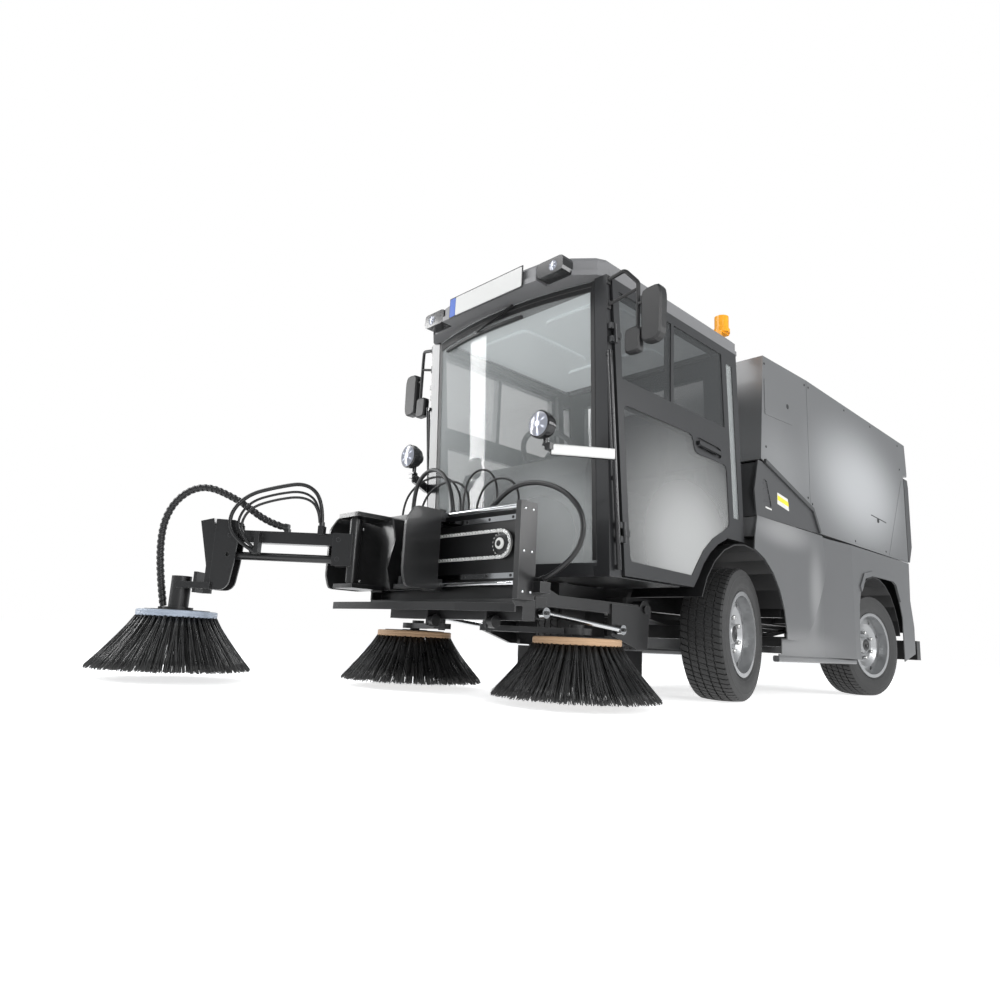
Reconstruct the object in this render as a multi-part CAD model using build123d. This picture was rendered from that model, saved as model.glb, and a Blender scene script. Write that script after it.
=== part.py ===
"""Compact street sweeper with a glazed cab, a tipping hopper, two side brushes and a third brush on a boom.

Sizes are in millimetres. While it is drawn, the origin is on the ground under the front axle's middle:
+X is the vehicle's left, -Y its front and +Z up. At the end everything moves so that the origin is the
middle of the whole object's footprint.
"""
import os
from math import atan2, cos, pi, radians, sin, tan

from build123d import *

# Wheels and steering
WHEELBASE = 1900.0
TYRE_RADIUS = 341.0
TYRE_WIDTH = 225.0
RIM_FLANGE_RADIUS = 218.0
RIM_SEAT_RADIUS = 203.0
RIM_WALL = 6.0
RIM_FLANGE = 9.0
RIM_DISC_INSET = 58.0
KINGPIN_X = 450.0
KINGPIN_TO_WHEEL = 60.0
KINGPIN_RADIUS = 18.0
PIN_CLEARANCE = 0.3
STEER_REST = 10.0
STEER_LOCK = 25.0
WHEEL_BOLTS = 6
WHEEL_BOLT_CIRCLE = 85.0

# Chassis
RAIL_INNER = 155.0
RAIL_OUTER = 215.0
RAIL_BOTTOM = 440.0
RAIL_TOP = 525.0
RAIL_FRONT = -960.0
RAIL_REAR = WHEELBASE + 780.0
TOW_BORE_RADIUS = 16.0
TOW_BORE_Y = RAIL_REAR + 55.0
JACK_PAD_Y = 700.0
JACK_PAD_THICKNESS = 12.0
AXLE_HALF = 42.0
SPRING_HALF_LENGTH = 330.0
SPRING_THICKNESS = 30.0

# Cab
CAB_HALF_WIDTH = 610.0
CAB_WALL = 45.0
CAB_FRONT_LOW = -1100.0
CAB_FRONT_HIGH = -1165.0
CAB_REAR_LOW = 62.0
CAB_REAR_HIGH = 0.0
CAB_SILL = 530.0
CAB_FLOOR = 575.0
CAB_SEAT_DECK = 865.0
CAB_STEP_Y = -500.0
CAB_EAVES = 1860.0
ROOF_TOP = 1965.0
ROOF_HALF_WIDTH = CAB_HALF_WIDTH - 5.0
ROOF_LIP = 26.0
ROOF_REAR = 20.0
BROW_FRONT = -1335.0
BROW_LAMP_X = 410.0
BROW_LAMP_HALF = 78.0
BROW_LAMP_BACK = -1250.0
BROW_LAMP_TOP = 1940.0
GLASS = 6.0
BEACON_X = 490.0
MIRROR_X = CAB_HALF_WIDTH + 216.0
WIDE_MIRROR_X = CAB_HALF_WIDTH + 120.0
MIRROR_POST_X = CAB_HALF_WIDTH + 138.0
LAMP_X = 450.0
LAMP_HEIGHT = 1142.0
LAMP_RADIUS = 60.0
BEACON_FOOT = 2045.0
WINDSCREEN_SAG = 72.0
BELT_LINE = 1390.0

# Inside the cab, and the masses under the body
STEERING_WHEEL_RADIUS = 175.0
STEERING_RIM_RADIUS = 14.0
SEAT_PEDESTAL = 95.0
SEAT_CUSHION = 100.0
ENGINE_HALF_WIDTH = 260.0
ENGINE_FRONT = 480.0
ENGINE_REAR = 1230.0
ENGINE_TOP = 960.0
MOUTH_HALF_WIDTH = 300.0
MOUTH_WALL = 15.0
MOUTH_FRONT = -690.0
MOUTH_REAR = -415.0
MOUTH_BOTTOM = 40.0
MOUTH_TOP = 230.0

# Doors
DOOR_FACE = CAB_HALF_WIDTH + 12.0
DOOR_THICKNESS = 40.0
DOOR_FRONT_LOW = -1010.0
DOOR_FRONT_HIGH = -1138.0
DOOR_REAR_LOW = -72.0
DOOR_REAR_HIGH = -142.0
DOOR_TOP = 1845.0
DOOR_FRAME = 44.0
PANE_CORNER = 34.0
DOOR_GAP = 6.0
DIVIDER_Y = -665.0
DIVIDER_WIDTH = 25.0
HANDLE_BOTTOM = 1200.0
DOOR_LIP = 22.0
HINGE_RADIUS = 9.0
HINGE_PIN_RADIUS = 4.0
HINGE_OUT = 10.0
HINGE_LENGTH = 90.0
HINGE_HEIGHTS = (720.0, 1590.0)

# Lower body
BODY_HALF_WIDTH = CAB_HALF_WIDTH + 40.0
BODY_WALL = 6.0
BODY_BOTTOM = 240.0
BODY_TOP = 988.0
BODY_FRONT = 105.0
BODY_REAR = WHEELBASE + 750.0
BODY_RECESS = 30.0
CREASE_Y = 1040.0
SEAM_Y = 1480.0
FRONT_ARCH_RADIUS = 462.0
REAR_ARCH_RADIUS = 473.0
ARCH_INNER = 238.0

# Hopper
HOPPER_HALF_WIDTH = CAB_HALF_WIDTH + 20.0
HOPPER_WALL = 5.0
HOPPER_TOP = 1970.0
HOPPER_BOTTOM = 1000.0
HOPPER_REAR = WHEELBASE + 800.0
HOPPER_CAP = 95.0
CAP_BOTTOM = 1708.0
HOPPER_GAP = 12.0
TAILGATE_THICKNESS = 100.0
TIP_PIVOT_Y = WHEELBASE + 750.0
TIP_PIVOT_Z = 968.0
TIP_PIN_RADIUS = 14.0
TIP_POST_INNER = 160.0
TIP_POST_OUTER = 185.0
TIP_CYL_X = 110.0
TIP_ARM = 715.0
TIP_FOOT_ANGLE = 60.0
TIP_BARREL_RADIUS = 36.0
TIP_ROD_RADIUS = 20.0
DUCT_HALF = 80.0
DUCT_WALL = 4.0
DUCT_RISER_Y = 330.0
DUCT_LEVEL = 495.0
DUCT_MOUTH_Y = -520.0
TIP_ANGLE = 50.0

# Tailgate hinge, (y, z), along the rear edge of the hopper's cap
TAIL_PIVOT = (HOPPER_REAR + HOPPER_CAP + 14.0, CAP_BOTTOM - 14.0)
TAIL_PIN_RADIUS = 6.0
TAIL_OPEN = 80.0
TAIL_HINGE_X = 400.0

# Tipping cylinders, (y, z): foot and eye lie equally far from the tipping pivot
TIP_EYE = (TIP_PIVOT_Y - TIP_ARM, TIP_PIVOT_Z)
TIP_FOOT = (TIP_PIVOT_Y - TIP_ARM * cos(radians(TIP_FOOT_ANGLE)),
            TIP_PIVOT_Z - TIP_ARM * sin(radians(TIP_FOOT_ANGLE)))
TIP_CLOSED = 2 * TIP_ARM * sin(radians(TIP_FOOT_ANGLE / 2))
TIP_OPEN = 2 * TIP_ARM * sin(radians((TIP_FOOT_ANGLE + TIP_ANGLE) / 2))
TIP_STROKE = TIP_OPEN - TIP_CLOSED

# Front unit: panel with rails, arms and shelf
UNIT_PIVOT_Y = -581.0
UNIT_PIVOT_Z = 425.0
UNIT_PIN_RADIUS = 20.0
ARM_X = 400.0
ARM_WIDTH = 40.0
PANEL_LEFT = 450.0
PANEL_RIGHT = -520.0
PANEL_Y = -1430.0
PANEL_TOP = 800.0
PANEL_BOTTOM = 410.0
RAIL_ROD_RADIUS = 12.0
RAIL_ROD_Y = -1475.0
RAIL_ROD_HIGH = 782.0
RAIL_ROD_LOW = 472.0
ROLLER_X = (-80.0, 300.0)

# Chain drive of the carriage: a roller chain in one closed loop round two sprockets
CHAIN_PITCH = 19.05
CHAIN_PITCHES = 94
CHAIN_PLATE_HEIGHT = 16.0
CHAIN_PLATE_WAIST = 5.0
CHAIN_PLATE_THICKNESS = 2.0
CHAIN_WIDTH = 12.0
SPROCKET_TEETH = 18
SPROCKET_RADIUS = CHAIN_PITCH / 2 / sin(pi / SPROCKET_TEETH)
SPROCKET_X = 330.0
SPROCKET_SPAN = (CHAIN_PITCHES * CHAIN_PITCH - 2 * pi * SPROCKET_RADIUS) / 2
SPROCKET_FAR_X = SPROCKET_X - SPROCKET_SPAN
SPROCKET_Z = 637.0

# Brace rods beside the arms: x, and the (y, z) of their two eyes
TIE_X = 450.0
TIE_FRONT = (-1316.0, 366.0)
TIE_REAR = (-798.0, 322.0)
TIE_PIN_RADIUS = 8.0

# Side brushes
BRUSH_RADIUS = 350.0
SIDE_BRUSH_BOTTOM = 30.0
SIDE_BRUSH_HEIGHT = 215.0
SIDE_DISC_RADIUS = 185.0
SIDE_DISC_HEIGHT = 35.0
LEFT_BRUSH = (470.0, -1130.0)
RIGHT_BRUSH = (-530.0, -1210.0)
SIDE_PIVOT_X = 160.0
SIDE_PIVOT_Y = -1340.0

# Third brush, carriage and boom
CARRIAGE_LEFT = 0.0
CARRIAGE_RIGHT = -620.0
CARRIAGE_TOP = 800.0
CARRIAGE_BOTTOM = 450.0
CARRIAGE_FRONT = -1700.0
CARRIAGE_PLATE = 14.0
CARRIAGE_RIB_X = -255.0
BOOM_PIVOT = (-450.0, -1660.0)
THIRD_BRUSH = (-1036.0, -2208.0)
THIRD_BRUSH_BOTTOM = 45.0
THIRD_BRUSH_HEIGHT = 237.0
THIRD_DISC_RADIUS = 175.0
BOOM_HIGH = 670.0
BOOM_LOW = 580.0
BOOM_ROOT = 66.0
BOOM_REACH = 516.0
BOOM_SECTION = 56.0
BOOM_LINK_RADIUS = 19.0

# Running clearance between pieces that move past each other, and the gap of pieces seated on each other
RUNNING = 8.0
SEAT = 0.3


def block(x0, x1, y0, y1, z0, z1):
    """Box between two corners."""
    return Pos((x0 + x1) / 2, (y0 + y1) / 2, (z0 + z1) / 2) * Box(abs(x1 - x0), abs(y1 - y0), abs(z1 - z0))


def side_plate(points, x0, x1):
    """Plate with an outline of (y, z) points, between two x planes."""
    face = make_face(Polyline([(y, z) for y, z in points], close=True))
    return extrude(Plane(origin=(x0, 0, 0), x_dir=(0, 1, 0), z_dir=(1, 0, 0)) * face, amount=x1 - x0)


def front_plate(points, y0, y1):
    """Plate with an outline of (x, z) points, between two y planes."""
    face = make_face(Polyline([(x, z) for x, z in points], close=True))
    return extrude(Plane(origin=(0, y1, 0), x_dir=(1, 0, 0), z_dir=(0, -1, 0)) * face, amount=y1 - y0)


def flat_plate(points, z0, z1):
    """Plate with an outline of (x, y) points, between two z planes."""
    face = make_face(Polyline([(x, y) for x, y in points], close=True))
    return extrude(Plane(origin=(0, 0, z0)) * face, amount=z1 - z0)


def rod(start, end, radius):
    """Round bar from one point to another."""
    axis = Vector(*end) - Vector(*start)
    return extrude(Plane(origin=start, z_dir=axis) * Circle(radius), amount=axis.length)


def softened(points, cut):
    """Outline with rounded corners: each becomes three points of a curve that starts a cut before it."""
    soft = []
    count = len(points)
    for number in range(count):
        before, corner, after = (Vector(*points[number - 1]), Vector(*points[number]),
                                 Vector(*points[(number + 1) % count]))
        back, ahead = before - corner, after - corner
        reach_back, reach_ahead = min(cut, back.length * 0.45), min(cut, ahead.length * 0.45)
        first, last = corner + back.normalized() * reach_back, corner + ahead.normalized() * reach_ahead
        middle = (first + last) * 0.25 + corner * 0.5
        soft += [(first.X, first.Y), (middle.X, middle.Y), (last.X, last.Y)]
    return soft


def pipe(points, radius, bend):
    """Round tube along straight runs joined by arcs of one bend radius."""
    path = FilletPolyline(*points, radius=bend)
    start = Plane(origin=points[0], z_dir=Vector(*points[1]) - Vector(*points[0]))
    return sweep(start * Circle(radius), path=path)


def square_bar(start, end, width, height):
    """Bar of a rectangular section, level across, from one point to another."""
    axis = Vector(*end) - Vector(*start)
    across = Vector(0, 0, 1).cross(axis)
    plane = Plane(origin=start, x_dir=across, z_dir=axis)
    return extrude(plane * Rectangle(width, height), amount=axis.length)


def upright(x, y, z0, z1, radius):
    """Upright round bar."""
    return rod((x, y, z0), (x, y, z1), radius)


def turned(profile):
    """Solid of revolution about Z from (radius, height) points."""
    face = make_face(Polyline([(r, h) for r, h in profile], close=True))
    return revolve(Plane.XZ * face, Axis.Z)


def both_sides(solid):
    """A solid with its mirror image on the vehicle's other side."""
    return [solid, mirror(solid, Plane.YZ)]


# Corners: name, side (+1 left, -1 right), axle position, turn of the wheel at rest
CORNERS = [
    ("front_left", 1, 0.0, STEER_REST),
    ("front_right", -1, 0.0, STEER_REST),
    ("rear_left", 1, WHEELBASE, -STEER_REST),
    ("rear_right", -1, WHEELBASE, -STEER_REST),
]


def corner_place(side, axle_y, turn):
    """Place of a wheel's own frame: z outward along the stub axle, origin at the king pin's middle."""
    spin = Vector(side * cos(radians(turn)), side * sin(radians(turn)), 0)
    return Plane(origin=(side * KINGPIN_X, axle_y, TYRE_RADIUS), x_dir=(0, 0, 1), z_dir=spin)


def tyre_solid():
    """Tyre about the stub axle, with its middle plane at the wheel's own distance from the king pin."""
    half = TYRE_WIDTH / 2
    middle = KINGPIN_TO_WHEEL
    bead = RIM_SEAT_RADIUS + SEAT
    shoulder = TYRE_RADIUS - 22
    wall = (bead + shoulder) / 2 + 4
    profile = [
        (bead, middle - half + 26), (wall, middle - half), (shoulder, middle - half + 7),
        (TYRE_RADIUS, middle - half + 26), (TYRE_RADIUS, middle + half - 26),
        (shoulder, middle + half - 7), (wall, middle + half), (bead, middle + half - 26),
    ]
    return turned(profile)


def rim_solid():
    """Steel rim: barrel with flanges, dished disc with a hub cup, bolts and hand holes."""
    half = TYRE_WIDTH / 2 - 8
    inner, outer = KINGPIN_TO_WHEEL - half, KINGPIN_TO_WHEEL + half
    disc = outer - RIM_DISC_INSET
    seat = RIM_SEAT_RADIUS
    barrel = turned([
        (seat - RIM_WALL, inner), (RIM_FLANGE_RADIUS, inner), (RIM_FLANGE_RADIUS, inner + RIM_FLANGE),
        (seat, inner + RIM_FLANGE), (seat, outer - RIM_FLANGE), (RIM_FLANGE_RADIUS, outer - RIM_FLANGE),
        (RIM_FLANGE_RADIUS, outer), (seat - RIM_WALL, outer),
    ])
    dish = turned([
        (48, disc - 26), (118, disc - 26), (150, disc - 4), (seat - RIM_WALL, disc - 14),
        (seat - RIM_WALL, disc - 2), (146, disc + 8), (112, disc - 14), (48, disc - 14),
    ])
    cup = turned([(0, disc - 26), (58, disc - 26), (58, disc + 2), (44, disc + 14), (0, disc + 14)])
    solid = barrel + dish + cup
    for number in range(WHEEL_BOLTS):
        place = Rot(0, 0, 360 / WHEEL_BOLTS * number) * Pos(WHEEL_BOLT_CIRCLE, 0, disc - 14)
        solid += place * Cylinder(11, 18, align=(Align.CENTER, Align.CENTER, Align.MIN))
    for number in range(8):
        place = Rot(0, 0, 45 * number + 22.5) * Pos(168, 0, disc - 30)
        solid -= place * Cylinder(14, 60, align=(Align.CENTER, Align.CENTER, Align.MIN))
    return solid


def knuckle_solid():
    """Steering knuckle in the wheel's frame: fork round the axle eye, king pin and hub drum."""
    eye_half = AXLE_HALF + 2
    arm = 26
    fork = Box(2 * (eye_half + arm), 84, 84)
    fork -= Box(2 * eye_half, 90, 90)
    back = Pos(0, 0, 44) * Box(2 * (eye_half + arm), 84, 16)
    pin = Rot(0, 90, 0) * Cylinder(KINGPIN_RADIUS, 2 * (eye_half + arm))
    hub_end = KINGPIN_TO_WHEEL + TYRE_WIDTH / 2 - 8 - RIM_DISC_INSET - 26 - SEAT
    drum = Pos(0, 0, 50) * Cylinder(95, hub_end - 50, align=(Align.CENTER, Align.CENTER, Align.MIN))
    return (fork + back + drum) + pin


def axle_beams():
    """Front and rear axle beams with king pin eyes, leaf springs and their hangers."""
    solids = []
    for axle_y in (0.0, WHEELBASE):
        low, high = TYRE_RADIUS - AXLE_HALF, TYRE_RADIUS + AXLE_HALF
        beam = block(-KINGPIN_X + 26, KINGPIN_X - 26, axle_y - 34, axle_y + 34, low + 6, high - 6)
        for side in (1, -1):
            eye_x = side * KINGPIN_X
            beam += Pos(eye_x, axle_y, TYRE_RADIUS) * Cylinder(30, 2 * AXLE_HALF)
            beam -= Pos(eye_x, axle_y, TYRE_RADIUS) * Cylinder(KINGPIN_RADIUS + 0.05, 2 * AXLE_HALF + 2)
            spring_x = side * (RAIL_INNER + RAIL_OUTER) / 2
            leaf = side_plate([
                (axle_y - SPRING_HALF_LENGTH, RAIL_BOTTOM - 24), (axle_y - 60, high - 7),
                (axle_y + 60, high - 7),
                (axle_y + SPRING_HALF_LENGTH, RAIL_BOTTOM - 24),
                (axle_y + SPRING_HALF_LENGTH, RAIL_BOTTOM - 6),
                (axle_y + 60, high - 7 + SPRING_THICKNESS), (axle_y - 60, high - 7 + SPRING_THICKNESS),
                (axle_y - SPRING_HALF_LENGTH, RAIL_BOTTOM - 6),
            ], spring_x - 27, spring_x + 27)
            beam += leaf
            for end in (-1, 1):
                hanger_y = axle_y + end * (SPRING_HALF_LENGTH - 12)
                beam += block(spring_x - 27, spring_x + 27, hanger_y - 12, hanger_y + 12,
                              RAIL_BOTTOM - 24, RAIL_BOTTOM)
        solids.append(beam)
    return solids


def chassis_frame():
    """Ladder frame of separate members: rails, cross members, outriggers, brackets, posts and jack pads."""
    members = [block(-RAIL_INNER, RAIL_INNER, y - 30, y + 30, RAIL_BOTTOM, RAIL_BOTTOM + 60)
               for y in (RAIL_FRONT + 40, -760.0, 520.0, 1400.0, RAIL_REAR - 50)]
    inner_x = ARM_X - ARM_WIDTH / 2 - RUNNING - 22
    saddle = DUCT_LEVEL - DUCT_HALF - SEAT
    members.append(block(-RAIL_INNER, RAIL_INNER, -200, -160, saddle - 8, saddle))
    middle_x = (RAIL_INNER + RAIL_OUTER) / 2
    for side in (1, -1):
        members.append(block(side * RAIL_INNER, side * RAIL_OUTER, RAIL_FRONT, RAIL_REAR, RAIL_BOTTOM,
                             RAIL_TOP))
        members.append(block(side * (RAIL_INNER - 6), side * RAIL_INNER, -200, -160, saddle,
                             RAIL_BOTTOM + 20))
        bracket = side_plate([
            (UNIT_PIVOT_Y - 70, RAIL_BOTTOM + 40), (UNIT_PIVOT_Y - 45, 236), (UNIT_PIVOT_Y + 75, 236),
            (UNIT_PIVOT_Y + 110, RAIL_BOTTOM + 40),
        ], side * inner_x, side * (inner_x + 22))
        bracket += rod((side * (inner_x + 12), UNIT_PIVOT_Y, UNIT_PIVOT_Z),
                       (side * (ARM_X + ARM_WIDTH / 2 + 20), UNIT_PIVOT_Y, UNIT_PIVOT_Z), UNIT_PIN_RADIUS)
        members.append(bracket)
        members.append(block(side * RAIL_OUTER, side * inner_x, UNIT_PIVOT_Y - 40, UNIT_PIVOT_Y + 80,
                             RAIL_BOTTOM - 20, RAIL_BOTTOM + 40))
        for mount_y in (-900.0, -640.0):
            members.append(upright(side * middle_x, mount_y, RAIL_TOP, CAB_SILL, 28))
        members.append(block(side * (middle_x - 25), side * (middle_x + 25), -60, 10,
                             RAIL_TOP, CAB_SEAT_DECK - CAB_WALL))
        post = side_plate([
            (TIP_PIVOT_Y - 90, RAIL_TOP), (TIP_PIVOT_Y - 26, TIP_PIVOT_Z + 10),
            (TIP_PIVOT_Y - 14, TIP_PIVOT_Z + 24),
            (TIP_PIVOT_Y + 14, TIP_PIVOT_Z + 24), (TIP_PIVOT_Y + 26, TIP_PIVOT_Z + 10),
            (TIP_PIVOT_Y + 26, RAIL_TOP),
        ], side * TIP_POST_INNER, side * TIP_POST_OUTER)
        post += rod((side * (TIP_POST_INNER + 2), TIP_PIVOT_Y, TIP_PIVOT_Z),
                    (side * (TIP_POST_OUTER + 52), TIP_PIVOT_Y, TIP_PIVOT_Z), TIP_PIN_RADIUS)
        members.append(post)
        hanger = side_plate([
            (TIP_FOOT[0] - 60, RAIL_BOTTOM), (TIP_FOOT[0] - 34, TIP_FOOT[1] - 34),
            (TIP_FOOT[0] + 34, TIP_FOOT[1] - 34), (TIP_FOOT[0] + 60, RAIL_BOTTOM),
        ], side * RAIL_INNER, side * (RAIL_INNER + 20))
        hanger += rod((side * (TIP_CYL_X - 40), *TIP_FOOT), (side * (RAIL_INNER + 2), *TIP_FOOT),
                      TIP_PIN_RADIUS)
        members.append(hanger)
        for outrigger_y in (480.0, 1250.0, WHEELBASE + 580.0):
            reach = BODY_HALF_WIDTH - BODY_WALL - (BODY_RECESS if outrigger_y < CREASE_Y + 300 else 0)
            members.append(block(side * RAIL_OUTER, side * reach, outrigger_y - 25, outrigger_y + 25,
                                 RAIL_BOTTOM + 10, RAIL_BOTTOM + 60))
        members.append(block(side * (middle_x - 25), side * (middle_x + 25), JACK_PAD_Y - 40, JACK_PAD_Y + 40,
                             RAIL_BOTTOM - JACK_PAD_THICKNESS, RAIL_BOTTOM))
    return members


def tow_jaw():
    """Rear tow jaw: a plate across the rails' ends with two ears, bored upright for the drawbar's pin."""
    middle = RAIL_BOTTOM + 30
    jaw = block(-RAIL_INNER, RAIL_INNER, RAIL_REAR - 20, RAIL_REAR, middle - 57, middle + 57)
    for ear in (1, -1):
        jaw += block(-70, 70, RAIL_REAR - 1, RAIL_REAR + 95, middle + ear * 45 - 12, middle + ear * 45 + 12)
    jaw -= upright(0, TOW_BORE_Y, middle - 90, middle + 90, TOW_BORE_RADIUS)
    return jaw


def cab_outline(inset=0.0):
    """Side outline of the cab, (y, z) points, taken in by an inset."""
    return [
        (CAB_FRONT_LOW + inset, CAB_SILL + inset), (CAB_FRONT_HIGH + inset, CAB_EAVES - inset),
        (CAB_REAR_HIGH - inset, CAB_EAVES - inset), (CAB_REAR_LOW - inset, CAB_SEAT_DECK - CAB_WALL + inset),
        (CAB_STEP_Y + inset, CAB_SEAT_DECK - CAB_WALL + inset), (CAB_STEP_Y - 70 + inset, CAB_SILL + inset),
    ]


def cab_front_y(z):
    """Place of the cab's leaning front at a height."""
    return CAB_FRONT_LOW + (CAB_FRONT_HIGH - CAB_FRONT_LOW) * (z - CAB_SILL) / (CAB_EAVES - CAB_SILL)


def door_front_y(z):
    """Place of the leaning front edge of a door at a height."""
    return DOOR_FRONT_LOW + (DOOR_FRONT_HIGH - DOOR_FRONT_LOW) * (z - CAB_SILL) / (DOOR_TOP - CAB_SILL)


def door_rear_y(z):
    """Place of the leaning rear edge of a door at a height."""
    return DOOR_REAR_LOW + (DOOR_REAR_HIGH - DOOR_REAR_LOW) * (z - CAB_SEAT_DECK) / (DOOR_TOP - CAB_SEAT_DECK)


def door_hinge_point(z):
    """Point of the left door's leaning hinge line at a height."""
    return Vector(DOOR_FACE + HINGE_OUT, door_front_y(z) - DOOR_GAP / 2, z)


def door_hinges():
    """Left door's two hinges: the knuckles with pins on the pillar, and the knuckles on the door."""
    on_pillar, on_door = None, None
    along = (door_hinge_point(DOOR_TOP) - door_hinge_point(CAB_SILL)).normalized()
    for z in HINGE_HEIGHTS:
        middle = door_hinge_point(z)
        third = HINGE_LENGTH / 6
        fixed = rod(tuple(middle - along * (3 * third)), tuple(middle - along * (third + SEAT)), HINGE_RADIUS)
        fixed += rod(tuple(middle + along * (third + SEAT)), tuple(middle + along * (3 * third)),
                     HINGE_RADIUS)
        for step in (-2 * third, 2 * third):
            y = middle.Y + along.Y * step
            fixed += block(CAB_HALF_WIDTH - 1, middle.X, y - 28, y, z + step - third + 2,
                           z + step + third - 2)
        fixed += rod(tuple(middle - along * (3 * third)), tuple(middle + along * (3 * third)),
                     HINGE_PIN_RADIUS)
        moving = rod(tuple(middle - along * (third - SEAT)), tuple(middle + along * (third - SEAT)),
                     HINGE_RADIUS)
        moving += block(DOOR_FACE - 1, middle.X, middle.Y + 2, middle.Y + 40, z - third + 2, z + third - 2)
        moving -= rod(tuple(middle - along * 30), tuple(middle + along * 30), HINGE_PIN_RADIUS + 0.05)
        on_pillar = fixed if on_pillar is None else on_pillar + fixed
        on_door = moving if on_door is None else on_door + moving
    return on_pillar, on_door


def cab_shell():
    """Cab frame: floor, step, rear wall, pillars and eaves, with door, windscreen and window openings."""
    shell = side_plate(cab_outline(), -CAB_HALF_WIDTH, CAB_HALF_WIDTH)
    inner = side_plate([
        (CAB_FRONT_LOW - 20, CAB_FLOOR), (CAB_FRONT_HIGH - 20, CAB_EAVES + 20),
        (CAB_REAR_HIGH - CAB_WALL, CAB_EAVES + 20),
        (CAB_REAR_LOW - CAB_WALL, CAB_SEAT_DECK), (CAB_STEP_Y - CAB_WALL, CAB_SEAT_DECK),
        (CAB_STEP_Y - 70 - CAB_WALL, CAB_FLOOR),
    ], -CAB_HALF_WIDTH + CAB_WALL + 20, CAB_HALF_WIDTH - CAB_WALL - 20)
    shell -= inner
    rebate_x = DOOR_FACE - DOOR_THICKNESS - DOOR_GAP
    hinges = door_hinges()[0]
    for side in (1, -1):
        shell -= side_plate(door_outline(DOOR_GAP), side * rebate_x, side * (CAB_HALF_WIDTH + 5))
        shell -= side_plate(door_outline(-DOOR_LIP), side * (CAB_HALF_WIDTH - CAB_WALL - 25),
                            side * (rebate_x + 1))
    shell += hinges + mirror(hinges, Plane.YZ)
    half, radius_edge = CAB_HALF_WIDTH - CAB_WALL - 20, CAB_FRONT_LOW + 4
    arc = ThreePointArc((-half, radius_edge), (0, radius_edge - WINDSCREEN_SAG), (half, radius_edge))
    back = Polyline([(half, radius_edge), (half, radius_edge + 30), (-half, radius_edge + 30),
                     (-half, radius_edge)])
    shell += extrude(Plane(origin=(0, 0, CAB_SILL)) * make_face([arc, back]), amount=60 - SEAT)
    rear_window = front_plate([(-430, 1080), (430, 1080), (430, 1760), (-430, 1760)],
                              CAB_REAR_HIGH - 80, CAB_REAR_LOW + 20)
    shell -= rear_window
    for side in (1, -1):
        shell -= side_plate(quarter_window_outline(0.0), side * (CAB_HALF_WIDTH - CAB_WALL - 30),
                            side * (CAB_HALF_WIDTH + 1))
    return shell


def door_outline(grow=0.0):
    """Side outline of a door, (y, z) points, grown by a gap; its low rear corner follows the wheel arch."""
    arch = arch_points(0.0, FRONT_ARCH_RADIUS + 30 - grow, 108, 150, 4)
    low = CAB_SILL + 10 - grow
    return [
        (door_front_y(CAB_SILL) - grow, low), (DOOR_FRONT_HIGH - grow, DOOR_TOP + grow),
        (DOOR_REAR_HIGH + grow, DOOR_TOP + grow), (DOOR_REAR_LOW + grow, CAB_SEAT_DECK - grow),
    ] + arch + [(arch[-1][0] - 40, low)]


def lower_pane_outline(inset):
    """Outline of the door's large lower pane, taken in by an inset; it leaves room for the handle."""
    edge = DOOR_FRAME + inset
    arch = arch_points(0.0, FRONT_ARCH_RADIUS + 30 + edge, 110, 146, 3)
    low, high = CAB_SILL + 20 + edge, BELT_LINE - 102 - inset
    points = [
        (door_front_y(low) + edge, low), (door_front_y(high) + edge, high), (-470 - inset, high),
        (-450 - inset, HANDLE_BOTTOM - inset), (door_rear_y(HANDLE_BOTTOM) - edge, HANDLE_BOTTOM - inset),
        (door_rear_y(CAB_SEAT_DECK) - edge, arch[0][1] + 30),
    ]
    return softened(points, PANE_CORNER)[:-1] + arch + [(arch[-1][0] - 36, low)]


def upper_pane_outlines(inset):
    """Outlines of the front and the rear upper pane, taken in by an inset."""
    edge = DOOR_FRAME + inset
    low, high = BELT_LINE + 12 + inset, DOOR_TOP - DOOR_FRAME - inset
    front = [(door_front_y(low) + edge, low), (door_front_y(high) + edge, high), (DIVIDER_Y - inset, high),
             (DIVIDER_Y - inset, low)]
    rear = [(DIVIDER_Y + DIVIDER_WIDTH + inset, low), (DIVIDER_Y + DIVIDER_WIDTH + inset, high),
            (door_rear_y(high) - edge, high), (door_rear_y(low) - edge, low)]
    return [front, rear]


def door_solid():
    """Left door: a frame round three panes, with hinge knuckles, a recessed handle plate and its bar."""
    inner_face = DOOR_FACE - DOOR_THICKNESS
    door = side_plate(door_outline(), inner_face, DOOR_FACE)
    for outline in [lower_pane_outline(0.0)] + upper_pane_outlines(0.0):
        door -= side_plate(outline, inner_face - 1, DOOR_FACE + 1)
    door += door_hinges()[1]
    recess = softened([(-440, 1222), (-440, 1288), (-190, 1276), (-190, 1218)], 32)
    door -= side_plate(recess, DOOR_FACE - 10, DOOR_FACE + 1)
    door += square_bar((DOOR_FACE + 6, -425, 1256), (DOOR_FACE + 6, -215, 1244), 14, 20)
    door += block(DOOR_FACE - 11, DOOR_FACE + 6, -425, -400, 1244, 1266)
    door += block(DOOR_FACE - 11, DOOR_FACE + 6, -240, -215, 1236, 1256)
    return door


def door_glass():
    """Left door's three panes, seated in their openings."""
    x0 = DOOR_FACE - 4 - GLASS
    return [side_plate(outline, x0,
                       x0 + GLASS) for outline in [lower_pane_outline(SEAT)] + upper_pane_outlines(SEAT)]


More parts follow.
